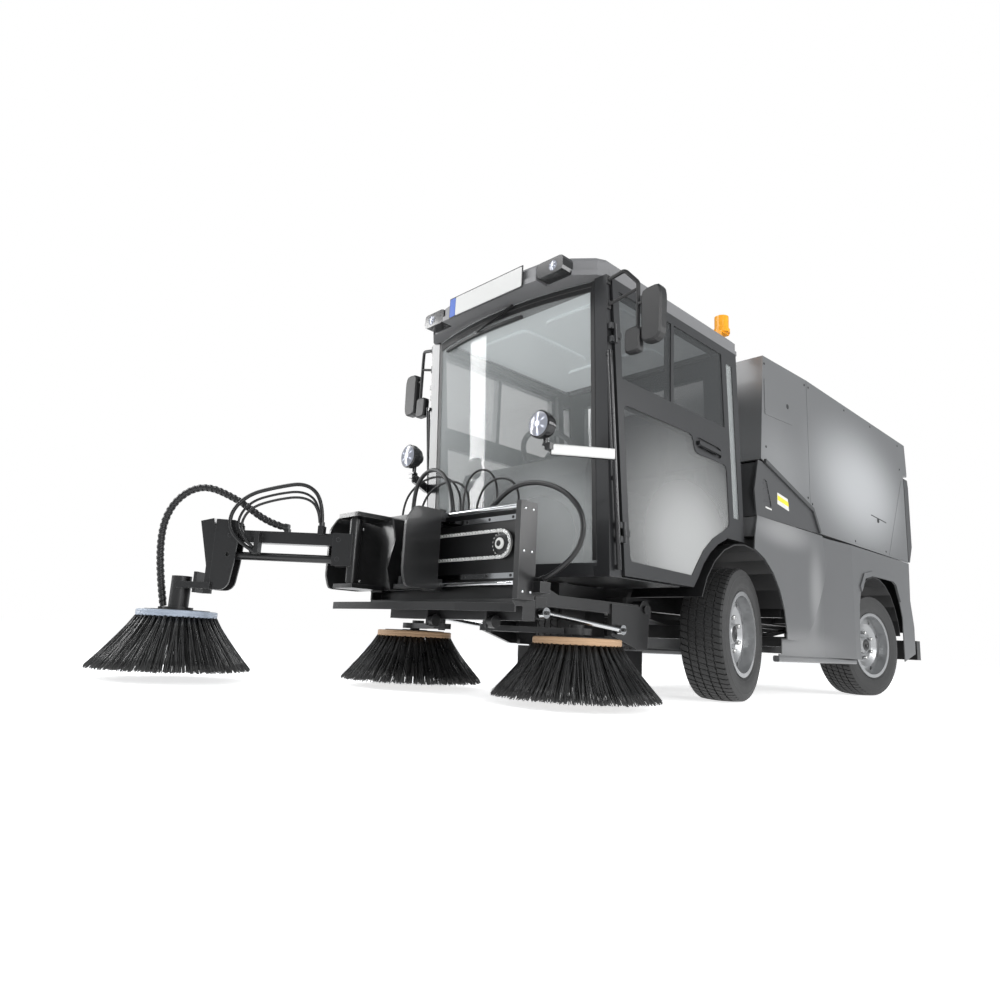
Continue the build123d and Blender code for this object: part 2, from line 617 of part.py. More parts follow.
def quarter_window_outline(inset):
    """Outline of the narrow window between the door and the cab's rear edge."""
    low, high = CAB_SEAT_DECK + 70 + inset, DOOR_TOP - 70 - inset
    front_low, front_high = door_rear_y(low) + 26 + inset, door_rear_y(high) + 26 + inset
    return [(front_low, low), (front_high, high), (front_high + 62 - 2 * inset, high),
            (front_low + 62 - 2 * inset, low)]


def quarter_windows():
    """Panes of the two quarter windows."""
    x0 = CAB_HALF_WIDTH - 4 - GLASS
    return both_sides(side_plate(quarter_window_outline(SEAT), x0, x0 + GLASS))


def windscreen():
    """Curved windscreen, an arc in plan that leans forward towards its top, and the rear pane."""
    low, high = CAB_SILL + 60, CAB_EAVES - 2
    half = CAB_HALF_WIDTH - CAB_WALL - 20 - SEAT
    lean = (CAB_FRONT_HIGH - CAB_FRONT_LOW) / (CAB_EAVES - CAB_SILL)
    edge_y = CAB_FRONT_LOW + lean * (low - CAB_SILL) + 8
    outer = ThreePointArc((-half, edge_y), (0, edge_y - WINDSCREEN_SAG), (half, edge_y))
    inner = ThreePointArc((half, edge_y + GLASS), (0, edge_y - WINDSCREEN_SAG + GLASS),
                          (-half, edge_y + GLASS))
    right = Line((half, edge_y), (half, edge_y + GLASS))
    left = Line((-half, edge_y + GLASS), (-half, edge_y))
    face = make_face([outer, right, inner, left])
    screen = extrude(Plane(origin=(0, 0, low)) * face, amount=high - low, dir=(0, lean, 1))
    rear = front_plate([(-430 + SEAT, 1080 + SEAT), (430 - SEAT, 1080 + SEAT), (430 - SEAT, 1760 - SEAT),
                        (-430 + SEAT, 1760 - SEAT)], CAB_REAR_HIGH - 30, CAB_REAR_HIGH - 30 + GLASS)
    return [screen, rear]


def roof_plan(inset):
    """Plan of the roof, (x, y) points, taken in by an inset; its brow is bowed."""
    half = ROOF_HALF_WIDTH - inset
    front = BROW_FRONT + inset
    side = [(half, ROOF_REAR), (half, front + 205), (half - 28, front + 150), (half - 125, front + 70),
            (half - 275, front + 10), (half - 400, front)]
    return [(-x, y) for x, y in side] + [(x, y) for x, y in reversed(side)]


def cab_roof():
    """Roof cap with a lip along its lower edge and a brow over the windscreen; hollow for the headliner."""
    cap = flat_plate(roof_plan(9), CAB_EAVES, ROOF_TOP)
    cap = chamfer(cap.faces().sort_by(Axis.Z)[-1].edges(), 30)
    cap += flat_plate(roof_plan(0), CAB_EAVES, CAB_EAVES + ROOF_LIP)
    cap -= block(-530, 530, -1080, -70, CAB_EAVES - 5, ROOF_TOP - 40)
    for side in (1, -1):
        reach = BROW_LAMP_HALF + SEAT
        cap -= block(side * (BROW_LAMP_X - reach), side * (BROW_LAMP_X + reach), BROW_FRONT - 10,
                     BROW_LAMP_BACK + SEAT, CAB_EAVES - 5, BROW_LAMP_TOP + SEAT)
    return cap


def cab_interior():
    """Dashboard, steering column and wheel, seat pedestal and the arm rests."""
    dash = side_plate([
        (-1055, CAB_FLOOR), (-1055, 1010), (-1020, 1110), (-900, 1130), (-860, 1060), (-960, 960),
        (-980, CAB_FLOOR),
    ], -430, 430)
    foot, head = (0, -905, 1075), (0, -800, 1190)
    column = rod(foot, head, 24)
    tilt = (Vector(*head) - Vector(*foot)).normalized()
    wheel = Plane(origin=head, z_dir=tilt) * Torus(STEERING_WHEEL_RADIUS, STEERING_RIM_RADIUS)
    hub = Plane(origin=head, z_dir=tilt) * Cylinder(38, 26)
    spokes = None
    for angle in (90, 210, 330):
        spoke = Plane(origin=head, z_dir=tilt) * (Rot(0, 0, angle) * Pos(90, 0, 0) * Box(170, 26, 12))
        spokes = spoke if spokes is None else spokes + spoke
    pedestal = block(-170, 170, -440, -60, CAB_SEAT_DECK, CAB_SEAT_DECK + SEAT_PEDESTAL)
    return [dash + column + wheel + hub + spokes, pedestal]


def seat_cushions():
    """Seat cushion and backrest."""
    z0 = CAB_SEAT_DECK + SEAT_PEDESTAL + SEAT
    top = z0 + SEAT_CUSHION
    cushion = block(-240, 240, -500, -110, z0, top)
    back = side_plate([(-200, top + SEAT), (-90, top + SEAT), (-50, z0 + 640), (-140, z0 + 640)], -235, 235)
    return [cushion, back]


def arch_points(center_y, radius, start, stop, steps):
    """Points of a wheel arch, from one angle to another."""
    points = []
    for number in range(steps + 1):
        angle = radians(start + (stop - start) * number / steps)
        points.append((center_y + radius * cos(angle), TYRE_RADIUS + radius * sin(angle)))
    return points


def body_outline():
    """Side outline of the lower body, (y, z) points, with the rear wheel arch flat at its top."""
    front_low = arch_points(0, FRONT_ARCH_RADIUS, -12, 78, 6)
    arch = [(-350, -100), (-350, 60), (-335, 250), (-300, 345), (-225, 440), (-80, 470), (330, 470),
            (390, 450),
            (470, 330), (520, 220), (520, -100)]
    rear_arch = [(WHEELBASE + y, TYRE_RADIUS + z) for y, z in arch]
    return (
        list(reversed(front_low))
        + rear_arch
        + [(BODY_REAR + 20, BODY_BOTTOM + 60), (BODY_REAR + 30, 500), (BODY_REAR - 30, 700),
           (BODY_REAR - 10, BODY_TOP),
           (BODY_FRONT + 30, BODY_TOP - 12), (BODY_FRONT, 860)]
    )


def body_skin(face_x):
    """Pressed side skin: raised in front of a curved crease, and sunk behind it up to a seam."""
    x0, x1 = face_x - 90, face_x
    solid = block(x0, x1, BODY_FRONT - 60, BODY_REAR + 120, BODY_BOTTOM - 60, BODY_TOP + 60)
    behind = side_plate([
        (CREASE_Y - 50, BODY_TOP + 61), (CREASE_Y - 45, 950), (CREASE_Y, 800), (CREASE_Y - 45, 690),
        (CREASE_Y - 130, 560), (CREASE_Y - 230, 430), (CREASE_Y - 330, 352), (CREASE_Y - 470, 330),
        (330, 330),
        (330, BODY_BOTTOM - 61), (SEAM_Y + 20, BODY_BOTTOM - 61), (SEAM_Y + 20, BODY_TOP + 61),
    ], x0, x1 + 1)
    sunk = flat_plate([
        (x1 + 1, 300), (x1 - BODY_RECESS, 300), (x1 - BODY_RECESS, CREASE_Y), (x1 + 1, SEAM_Y),
    ], BODY_BOTTOM - 61, BODY_TOP + 61)
    solid -= behind & sunk
    return solid - Pos(-BODY_WALL, -BODY_WALL, BODY_WALL) * solid


def body_side():
    """Left side of the lower body: its skin, arch rim, sill bar, deck, front wall and outrigger seats."""
    outline = body_outline()
    panel = body_skin(BODY_HALF_WIDTH) & side_plate(outline, BODY_HALF_WIDTH - 95, BODY_HALF_WIDTH + 5)
    rim = [(-300, 345), (-225, 440), (-80, 470), (330, 470), (390, 450), (470, 330)]
    inner = [(WHEELBASE + y, TYRE_RADIUS + z) for y, z in rim]
    outer = [(WHEELBASE + y * 1.08, TYRE_RADIUS + z + 34) for y, z in reversed(rim)]
    panel += side_plate(inner + outer, BODY_HALF_WIDTH - 1, BODY_HALF_WIDTH + 9)
    sill = softened([(-28, 0), (8, 0), (8, 34), (-28, 34)], 10)
    bar_face = make_face(Polyline([(x, z) for x, z in sill], close=True))
    place = Plane(origin=(BODY_HALF_WIDTH - BODY_RECESS, 400, BODY_BOTTOM - 32), x_dir=(1, 0, 0),
                  z_dir=(0, -1, 0))
    panel += extrude(place * bar_face, amount=-1130)
    panel += block(BODY_HALF_WIDTH - BODY_RECESS - 6, BODY_HALF_WIDTH - BODY_RECESS, 420, 1500,
                   BODY_BOTTOM - 10, BODY_BOTTOM + 12)
    deck_x = BODY_HALF_WIDTH - BODY_RECESS
    panel += block(330, deck_x, CREASE_Y - 40, BODY_REAR - 40, BODY_TOP - 20, BODY_TOP - 4)
    panel += block(deck_x - 20, BODY_HALF_WIDTH - 3, SEAM_Y - 10, BODY_REAR - 40, BODY_TOP - 20, BODY_TOP - 4)
    panel += block(240, BODY_HALF_WIDTH - 3, BODY_FRONT + 40, BODY_FRONT + 60, 870, BODY_TOP - 14)
    return panel


def vent_panels():
    """Dark panels above the lower body, with a louvred recess, a wall across and a thick seal."""
    top = [(BODY_FRONT + 106, 1292), (858, 1124), (960, BODY_TOP + 6)]
    panel = side_plate([(BODY_FRONT + 30, BODY_TOP - 11), (BODY_FRONT + 12, 1120),
                        (BODY_FRONT + 60, 1292)] + top
                       + [(955, BODY_TOP + 1)], BODY_HALF_WIDTH - 12, BODY_HALF_WIDTH - 4)
    recess = softened([(222, 1050), (215, 1195), (262, 1195), (318, 1050)], 14)
    panel -= side_plate(recess, BODY_HALF_WIDTH - 9, BODY_HALF_WIDTH)
    for step in range(4):
        z = 1072 + 32 * step
        panel += side_plate([(222, z), (222, z + 6), (300 - 12 * step, z + 16), (300 - 12 * step, z + 10)],
                            BODY_HALF_WIDTH - 10, BODY_HALF_WIDTH - 5)
    seal = [(240, 1312), (866, 1135), (964, 998), (944, 990), (856, 1113), (236, 1288)]
    panel += side_plate(seal, BODY_HALF_WIDTH - 6, BODY_HALF_WIDTH + 8)
    wall = side_plate([
        (BODY_FRONT + 34, BODY_TOP - 11), (BODY_FRONT + 58, BODY_TOP - 11), (BODY_FRONT + 104, 1280),
        (BODY_FRONT + 82, 1287),
    ], 240, BODY_HALF_WIDTH - 11)
    return both_sides(panel + wall)


def wheel_liners():
    """Curved mudguards over each wheel, open below."""
    solids = []
    for axle_y, radius, start, stop in ((0.0, FRONT_ARCH_RADIUS, 20, 160),
                                        (WHEELBASE, REAR_ARCH_RADIUS, 10, 150)):
        outer = arch_points(axle_y, radius - 2, start, stop, 10)
        inner = arch_points(axle_y, radius - 8, stop, start, 10)
        liner = side_plate(outer + inner, ARCH_INNER, BODY_HALF_WIDTH - BODY_WALL - SEAT)
        solids += both_sides(liner)
    return solids


def body_rear():
    """Rear walls of the lower body, and the bumper on two arms, notched before the tow jaw."""
    wall = block(240, BODY_HALF_WIDTH - BODY_WALL, BODY_REAR - 65, BODY_REAR - 40, 500, 930)
    bumper = block(-BODY_HALF_WIDTH, BODY_HALF_WIDTH, BODY_REAR + 60, BODY_REAR + 140, 256, 400)
    bumper -= block(-110, 110, BODY_REAR + 59, BODY_REAR + 124, 250, 410)
    for side in (1, -1):
        bumper += block(side * RAIL_INNER, side * RAIL_OUTER, BODY_REAR - 60, BODY_REAR + 61,
                        RAIL_BOTTOM - 70, RAIL_BOTTOM)
    return both_sides(wall) + [bumper]


def engine_block():
    """Engine and pump, one closed mass on the chassis rails."""
    return block(-ENGINE_HALF_WIDTH, ENGINE_HALF_WIDTH, ENGINE_FRONT, ENGINE_REAR, RAIL_TOP, ENGINE_TOP)


def hopper_outline():
    """Side outline of the hopper, (y, z) points; its cap reaches out over the tailgate."""
    cap_rear = HOPPER_REAR + HOPPER_CAP
    return [
        (236, 1318), (283, 1945), (882, HOPPER_TOP), (cap_rear - 22, HOPPER_TOP), (cap_rear, CAP_BOTTOM + 30),
        (cap_rear - 6, CAP_BOTTOM), (HOPPER_REAR, CAP_BOTTOM), (HOPPER_REAR, HOPPER_BOTTOM),
        (968, HOPPER_BOTTOM),
        (870, 1142),
    ]


def hopper_body():
    """Hollow hopper, open at its rear, with a suction inlet, hatches, seams and the lugs of its joints."""
    w = HOPPER_WALL
    shell = side_plate(hopper_outline(), -HOPPER_HALF_WIDTH, HOPPER_HALF_WIDTH)
    cap_rear = HOPPER_REAR + HOPPER_CAP
    shell -= side_plate([
        (236 + w + 4, 1318 + w - 8), (283 + w, 1945 - w - 4), (882, HOPPER_TOP - w),
        (cap_rear - 22 - w, HOPPER_TOP - w),
        (cap_rear - w, CAP_BOTTOM + 30), (cap_rear - 6 - w, CAP_BOTTOM + w),
        (HOPPER_REAR + 1, CAP_BOTTOM + w),
        (HOPPER_REAR + 1, HOPPER_BOTTOM + w), (968 + w / 2, HOPPER_BOTTOM + w), (870 + w / 2, 1142 + w),
    ], -HOPPER_HALF_WIDTH + w, HOPPER_HALF_WIDTH - w)
    inlet = DUCT_HALF - DUCT_WALL
    shell -= block(-inlet, inlet, DUCT_RISER_Y - inlet, DUCT_RISER_Y + inlet, 1200, 1400)
    hatch = softened([(292, 1592), (292, 1808), (585, 1822), (662, 1614)], 12)
    seams = [
        [(878, 1160), (878, 1958), (882, 1958), (882, 1160)],
        [(2262, HOPPER_BOTTOM + 6), (2640, 1652), (2646, 1652), (2268, HOPPER_BOTTOM + 6)],
    ]
    for side in (1, -1):
        face = side * HOPPER_HALF_WIDTH
        shell += side_plate(hatch, face - side, face + 3 * side)
        for seam in seams:
            shell -= side_plate(seam, face - 3 * side, face + side)
        lug_x = side * (TIP_POST_OUTER + 8)
        lug = side_plate([
            (TIP_PIVOT_Y - 34, HOPPER_BOTTOM + 1), (TIP_PIVOT_Y - 22, TIP_PIVOT_Z - 16),
            (TIP_PIVOT_Y, TIP_PIVOT_Z - 28),
            (TIP_PIVOT_Y + 22, TIP_PIVOT_Z - 16), (TIP_PIVOT_Y + 34, HOPPER_BOTTOM + 1),
        ], lug_x, lug_x + side * 36)
        shell += lug - rod((side * 150, TIP_PIVOT_Y, TIP_PIVOT_Z), (side * 300, TIP_PIVOT_Y, TIP_PIVOT_Z),
                           TIP_PIN_RADIUS + 0.05)
        for ear_x in (side * TIP_CYL_X - 34, side * TIP_CYL_X + 26):
            ear = block(ear_x, ear_x + 8, TIP_EYE[0] - 26, TIP_EYE[0] + 26, TIP_EYE[1] - 26,
                        HOPPER_BOTTOM + 1)
            shell += ear - rod((ear_x - 5, *TIP_EYE), (ear_x + 15, *TIP_EYE), TIP_PIN_RADIUS)
        for ear_x in (side * TAIL_HINGE_X - 40, side * TAIL_HINGE_X + 28):
            y, z = TAIL_PIVOT
            ear = side_plate([
                (cap_rear - 8, z + 40), (y + 12, z + 40), (y + 12, z - 10), (y - 10, z - 10),
                (cap_rear - 12, CAP_BOTTOM + 1),
            ], ear_x, ear_x + 12)
            shell += ear - rod((ear_x - 5, *TAIL_PIVOT), (ear_x + 20, *TAIL_PIVOT), TAIL_PIN_RADIUS + 0.05)
    return shell


def tailgate():
    """Rear flap below the hopper's cap, hinged along its top rear edge."""
    y0, w = HOPPER_REAR + HOPPER_GAP, HOPPER_WALL
    y1, top = y0 + TAILGATE_THICKNESS, CAP_BOTTOM - 26
    low = HOPPER_BOTTOM + 8
    gate = side_plate([
        (y0, low), (y0, top), (y1 - 16, top), (y1, top - 60), (y1, low + 130), (y1 - 70, low),
    ], -HOPPER_HALF_WIDTH, HOPPER_HALF_WIDTH)
    gate -= side_plate([
        (y0 - 5, low + 30), (y0 - 5, top - w), (y1 - 16 - w, top - w), (y1 - w, top - 60 - w),
        (y1 - w, low + 133),
        (y1 - 70, low + 30),
    ], -HOPPER_HALF_WIDTH + w, HOPPER_HALF_WIDTH - w)
    for x in (-TAIL_HINGE_X, TAIL_HINGE_X):
        knuckle = rod((x - 24, *TAIL_PIVOT), (x + 24, *TAIL_PIVOT), 11)
        knuckle += block(x - 24, x + 24, TAIL_PIVOT[0] - 10, TAIL_PIVOT[0] + 11, top - 50, TAIL_PIVOT[1])
        gate += knuckle + rod((x - 40, *TAIL_PIVOT), (x + 40, *TAIL_PIVOT), TAIL_PIN_RADIUS)
    return gate


def tip_axis():
    """Foot of the tipping cylinders in the middle plane, and the unit vector towards the eye."""
    foot = Vector(0, *TIP_FOOT)
    return foot, (Vector(0, *TIP_EYE) - foot).normalized()


def tip_barrels():
    """Barrels of the two tipping cylinders, with an eye on the foot pin."""
    foot, along = tip_axis()
    solids = []
    for side in (1, -1):
        base = foot + Vector(side * TIP_CYL_X, 0, 0)
        barrel = rod(tuple(base + along * 24), tuple(base + along * (TIP_CLOSED - 90)), TIP_BARREL_RADIUS)
        barrel -= rod(tuple(base + along * 60), tuple(base + along * TIP_CLOSED), TIP_ROD_RADIUS + 0.05)
        barrel += rod(tuple(base - Vector(22, 0, 0)), tuple(base + Vector(22, 0, 0)), 30)
        barrel -= rod(tuple(base - Vector(40, 0, 0)), tuple(base + Vector(40, 0, 0)), TIP_PIN_RADIUS + 0.05)
        solids.append(barrel)
    return solids


def tip_rods():
    """Rods of the two tipping cylinders; their eyes lie between the hopper's ears."""
    foot, along = tip_axis()
    solids = []
    for side in (1, -1):
        base = foot + Vector(side * TIP_CYL_X, 0, 0)
        eye = base + along * TIP_CLOSED
        shaft = rod(tuple(base + along * 80), tuple(eye), TIP_ROD_RADIUS)
        shaft += rod(tuple(eye - Vector(18, 0, 0)), tuple(eye + Vector(18, 0, 0)), 25)
        shaft -= rod(tuple(eye - Vector(30, 0, 0)), tuple(eye + Vector(30, 0, 0)), TIP_PIN_RADIUS)
        solids.append(shaft)
    return solids


def suction_mouth():
    """Open suction nozzle under the front, on its skids."""
    half, wall, front, back = MOUTH_HALF_WIDTH, MOUTH_WALL, MOUTH_FRONT, MOUTH_REAR
    outer = block(-half, half, front, back, MOUTH_BOTTOM, MOUTH_TOP)
    inner = block(-half + wall, half - wall, front + wall, back - wall, MOUTH_BOTTOM - 10, MOUTH_TOP - wall)
    outlet = DUCT_HALF - DUCT_WALL
    return outer - inner - block(-outlet, outlet, DUCT_MOUTH_Y - outlet, DUCT_MOUTH_Y + outlet,
                                 MOUTH_TOP - 30, MOUTH_TOP + 10)


def suction_duct():
    """Suction channel of flat steel walls: up from the mouth, level over the axle, and up to the hopper."""
    h, w = DUCT_HALF, DUCT_WALL
    front, back = DUCT_MOUTH_Y - h, DUCT_MOUTH_Y + h
    riser_front, riser_back = DUCT_RISER_Y - h, DUCT_RISER_Y + h
    foot, low, high = MOUTH_TOP + SEAT, DUCT_LEVEL - h, DUCT_LEVEL + h
    floor_slope = (1142 - 1318) / (870 - 236)
    top_front = 1318 + (riser_front - 236) * floor_slope - RUNNING - 2
    top_back = 1318 + (riser_back - 236) * floor_slope - RUNNING - 2
    walls = []
    for side in (1, -1):
        x0, x1 = side * (h - w), side * h
        walls.append(side_plate([(front, foot), (front, low + 55), (DUCT_MOUTH_Y, high), (back, high),
                                 (back, foot)], x0, x1))
        walls.append(side_plate([(back, low), (back, high), (riser_front, high), (riser_front, low)], x0, x1))
        walls.append(side_plate([
            (riser_front, low), (riser_front, top_front), (riser_back, top_back), (riser_back, low),
        ], x0, x1))
    span = h - w
    walls.append(block(-span, span, front, front + w, foot, low + 55))
    walls.append(side_plate([(front, low + 55), (front + w, low + 55), (DUCT_MOUTH_Y, high - w),
                             (DUCT_MOUTH_Y, high)], -span, span))
    walls.append(block(-span, span, back - w, back, foot, low))
    walls.append(block(-span, span, DUCT_MOUTH_Y, riser_front, high - w, high))
    walls.append(block(-span, span, back, riser_back, low, low + w))
    walls.append(block(-span, span, riser_front, riser_front + w, high, top_front - 2))
    walls.append(block(-span, span, riser_back - w, riser_back, low + w, top_back))
    return walls


def boom_frame():
    """Unit vector of the boom in plan, and a vector across it."""
    along = Vector(THIRD_BRUSH[0] - BOOM_PIVOT[0], THIRD_BRUSH[1] - BOOM_PIVOT[1], 0).normalized()
    return along, Vector(0, 0, 1).cross(along)


def boom_block(a0, a1, c0, c1, z0, z1):
    """Box in the boom's own directions: along it, across it and up."""
    along, across = boom_frame()
    base = Vector(*BOOM_PIVOT, (z0 + z1) / 2) + across * ((c0 + c1) / 2)
    return square_bar(tuple(base + along * a0), tuple(base + along * a1), c1 - c0, z1 - z0)


def boom_place(points, offset):
    """Points given as (along the boom, height) from its pivot, at an offset across the boom."""
    along, across = boom_frame()
    base = Vector(*BOOM_PIVOT, 0) + across * offset
    return [tuple(base + along * s + Vector(0, 0, z)) for s, z in points]


# Hoses: routes as (along the boom, height), (x, height) and (x, y, height)
BOOM_LOOP_OFFSET = 58.0
BOOM_BUNDLE_OFFSET = -12.0
BOOM_BUNDLE = [(880, 332), (940, 560), (930, 800), (780, 925), (580, 850), (430, 744), (345, 726)]
BOOM_LOOP = [(145, 745), (150, 850), (235, 930), (370, 905), (515, 862), (592, 760), (556, 652), (468, 606)]
UNIT_ARCH = [(-40, 816), (-60, 930), (-160, 1030), (-270, 1030), (-345, 940), (-340, 816)]
DRAG_LOOP = [
    (240, -1416, 822), (300, -1400, 885), (440, -1390, 900), (590, -1382, 850), (695, -1380, 745),
    (695, -1380, 625),
    (600, -1380, 535), (505, -1380, 498),
]


def hose_routes():
    """Hoses by node name: diameter and route, the route's ends standing at their sockets."""
    return {
        "hose_boom_bundle": (30.0, boom_place(BOOM_BUNDLE, BOOM_BUNDLE_OFFSET)),
        "hose_boom_loop": (18.0, boom_place(BOOM_LOOP, BOOM_LOOP_OFFSET)),
        "hose_unit_arch": (20.0, [(x, PANEL_Y + 14, z) for x, z in UNIT_ARCH]),
        "hose_unit_loop": (21.5, DRAG_LOOP),
    }


def bend_radii(points):
    """Arc radius at each inner point: 0.45 of the shorter run over the tangent of half the turn."""
    radii = []
    for before, corner, after in zip(points, points[1:], points[2:]):
        first, second = Vector(*corner) - Vector(*before), Vector(*after) - Vector(*corner)
        turn = radians(first.get_angle(second))
        radii.append(0.45 * min(first.length, second.length) / tan(turn / 2))
    return radii


def hose_solid(diameter, points):
    """Hose of one diameter along straight runs joined by arcs."""
    path = FilletPolyline(*points, radius=bend_radii(points))
    start = Plane(origin=points[0], z_dir=Vector(*points[1]) - Vector(*points[0]))
    return sweep(start * Circle(diameter / 2), path=path)


def hose_socket(points, radius, depth):
    """Sockets at both ends of a hose's route, meeting the hose face to face."""
    sockets = None
    for end, inner in ((points[0], points[1]), (points[-1], points[-2])):
        inward = (Vector(*inner) - Vector(*end)).normalized()
        socket = rod(tuple(Vector(*end) - inward * depth), tuple(end), radius)
        sockets = socket if sockets is None else sockets + socket
    return sockets


def front_arms():
    """Two arms from the chassis to the front panel, each with a bracket and the pins of its brace rod."""
    solids = []
    for side in (1, -1):
        x0, x1 = side * (ARM_X - ARM_WIDTH / 2), side * (ARM_X + ARM_WIDTH / 2)
        arm = side_plate([
            (UNIT_PIVOT_Y + 60, 390), (UNIT_PIVOT_Y + 60, 445), (-1192, 445), (PANEL_Y + 60, 505),
            (PANEL_Y + SEAT, 505), (PANEL_Y + SEAT, 425), (PANEL_Y + 76, 425), (PANEL_Y + 100, 396),
        ], x0, x1)
        bracket = side_plate([
            (TIE_REAR[0] - 40, 436), (TIE_REAR[0] - 40, TIE_REAR[1] - 26), (-640, 238), (-560, 238),
            (-540, 436),
        ], side * (ARM_X + 4), side * (ARM_X + 28))
        front_lug = side_plate([
            (TIE_FRONT[0] - 30, 430), (TIE_FRONT[0] - 26, TIE_FRONT[1] - 26),
            (TIE_FRONT[0] + 26, TIE_FRONT[1] - 26),
            (TIE_FRONT[0] + 40, 430),
        ], side * (ARM_X + 4), side * (ARM_X + 28))
        arm += bracket + front_lug
        arm += rod((x0, UNIT_PIVOT_Y, UNIT_PIVOT_Z), (side * (ARM_X + 28), UNIT_PIVOT_Y, UNIT_PIVOT_Z), 42)
        arm -= rod((side * (ARM_X - 60), UNIT_PIVOT_Y, UNIT_PIVOT_Z),
                   (side * (ARM_X + 60), UNIT_PIVOT_Y, UNIT_PIVOT_Z),
                   UNIT_PIN_RADIUS + 0.05)
        for eye in (TIE_FRONT, TIE_REAR):
            arm += rod((side * (ARM_X + 10), *eye), (side * (TIE_X + 24), *eye), TIE_PIN_RADIUS)
        solids.append(arm)
    return solids


def tie_rods():
    """Brace rods with ball ends beside the arms."""
    solids = []
    for side in (1, -1):
        x = side * TIE_X
        shaft = rod((x, *TIE_FRONT), (x, *TIE_REAR), 11)
        for eye in (TIE_FRONT, TIE_REAR):
            shaft += rod((x - 14, *eye), (x + 14, *eye), 22)
            shaft -= rod((x - 30, *eye), (x + 30, *eye), TIE_PIN_RADIUS + 0.05)
        solids.append(shaft)
    return solids


def front_frame():
    """Panel with end plates, cross beam, brush arm pivots, hose sockets and two guide rollers."""
    panel = block(PANEL_RIGHT, PANEL_LEFT, PANEL_Y - 10, PANEL_Y, PANEL_BOTTOM, PANEL_TOP)
    for x0, x1 in ((PANEL_LEFT - 6, PANEL_LEFT + 22), (PANEL_RIGHT - 6, PANEL_RIGHT + 6)):
        panel += block(x0, x1, PANEL_Y - 65, PANEL_Y + 30, PANEL_BOTTOM, PANEL_TOP)
    panel += block(PANEL_RIGHT, PANEL_LEFT, PANEL_Y - 1, PANEL_Y + 24, PANEL_TOP - 12, PANEL_TOP)
    panel += block(-ARM_X - 40, ARM_X + 40, PANEL_Y - 1, PANEL_Y + 70, 330, PANEL_BOTTOM + 5)
    for side in (1, -1):
        panel += upright(side * SIDE_PIVOT_X, SIDE_PIVOT_Y, 332, 400, 34)
        panel += upright(side * SIDE_PIVOT_X, SIDE_PIVOT_Y, 282, 340, 16)
    for x in ROLLER_X:
        panel += block(x - 22, x - 12, PANEL_Y - 52, PANEL_Y + 5, 300, 384)
        panel += rod((x - 16, PANEL_Y - 26, 322), (x + 18, PANEL_Y - 26, 322), 26)
    routes = hose_routes()
    for name in ("hose_unit_arch", "hose_unit_loop"):
        diameter, points = routes[name]
        panel += hose_socket(points, diameter / 2 + 4, 24)
    panel += upright(-425.0, PANEL_Y + 14, PANEL_TOP - 2, PANEL_TOP + 12, 15)
    panel += block(225, 250, PANEL_Y - 2, PANEL_Y + 24, PANEL_TOP - 2, PANEL_TOP + 8)
    panel += block(PANEL_LEFT + 20, PANEL_LEFT + 60, PANEL_Y + 20, PANEL_Y + 80, 440, 484)
    panel += block(PANEL_LEFT - 1, PANEL_LEFT + 22, PANEL_Y + 29, PANEL_Y + 80, 430, 500)
    return panel


def slide_rails():
    """Two round rails on webs, each with a flat wear strip beside it."""
    solids = []
    for z, strip_z in ((RAIL_ROD_HIGH, RAIL_ROD_HIGH - 36), (RAIL_ROD_LOW, RAIL_ROD_LOW + 36)):
        rail = rod((PANEL_RIGHT + 6, RAIL_ROD_Y, z), (PANEL_LEFT - 6, RAIL_ROD_Y, z), RAIL_ROD_RADIUS)
        rail += block(PANEL_RIGHT + 6, PANEL_LEFT - 6, RAIL_ROD_Y + 4, PANEL_Y - 10, z - 5, z + 5)
        solids.append(rail)
        solids.append(block(PANEL_RIGHT + 6, PANEL_LEFT - 6, PANEL_Y - 17, PANEL_Y - 10, strip_z - 11,
                            strip_z + 11))
    return solids


def chain_point(length):
    """Point (x, z) on the chain's pitch line, at a length from the top of the left sprocket."""
    r, span = SPROCKET_RADIUS, SPROCKET_SPAN
    length = length % (CHAIN_PITCHES * CHAIN_PITCH)
    if length < span:
        return SPROCKET_X - length, SPROCKET_Z + r
    length -= span
    if length < pi * r:
        return SPROCKET_FAR_X - r * sin(length / r), SPROCKET_Z + r * cos(length / r)
    length -= pi * r
    if length < span:
        return SPROCKET_FAR_X + length, SPROCKET_Z - r
    length -= span
    return SPROCKET_X + r * sin(length / r), SPROCKET_Z - r * cos(length / r)


def chain_link(number):
    """Outline of one outer link plate, (x, z) points: round ends about two pins, with a narrow waist."""
    ax, az = chain_point(2 * number * CHAIN_PITCH)
    bx, bz = chain_point((2 * number + 1) * CHAIN_PITCH)
    angle = atan2(bz - az, bx - ax)
    along, up = (cos(angle), sin(angle)), (-sin(angle), cos(angle))
    half, waist, middle = CHAIN_PLATE_HEIGHT / 2, CHAIN_PLATE_WAIST, CHAIN_PITCH / 2
    shape = [
        (-half, 0), (-half * 0.6, half * 0.8), (half * 0.4, half), (middle, waist),
        (CHAIN_PITCH - half * 0.4, half),
        (CHAIN_PITCH + half * 0.6, half * 0.8), (CHAIN_PITCH + half, 0),
        (CHAIN_PITCH + half * 0.6, -half * 0.8),
        (CHAIN_PITCH - half * 0.4, -half), (middle, -waist), (half * 0.4, -half), (-half * 0.6, -half * 0.8),
    ]
    return [(ax + s * along[0] + t * up[0], az + s * along[1] + t * up[1]) for s, t in shape]


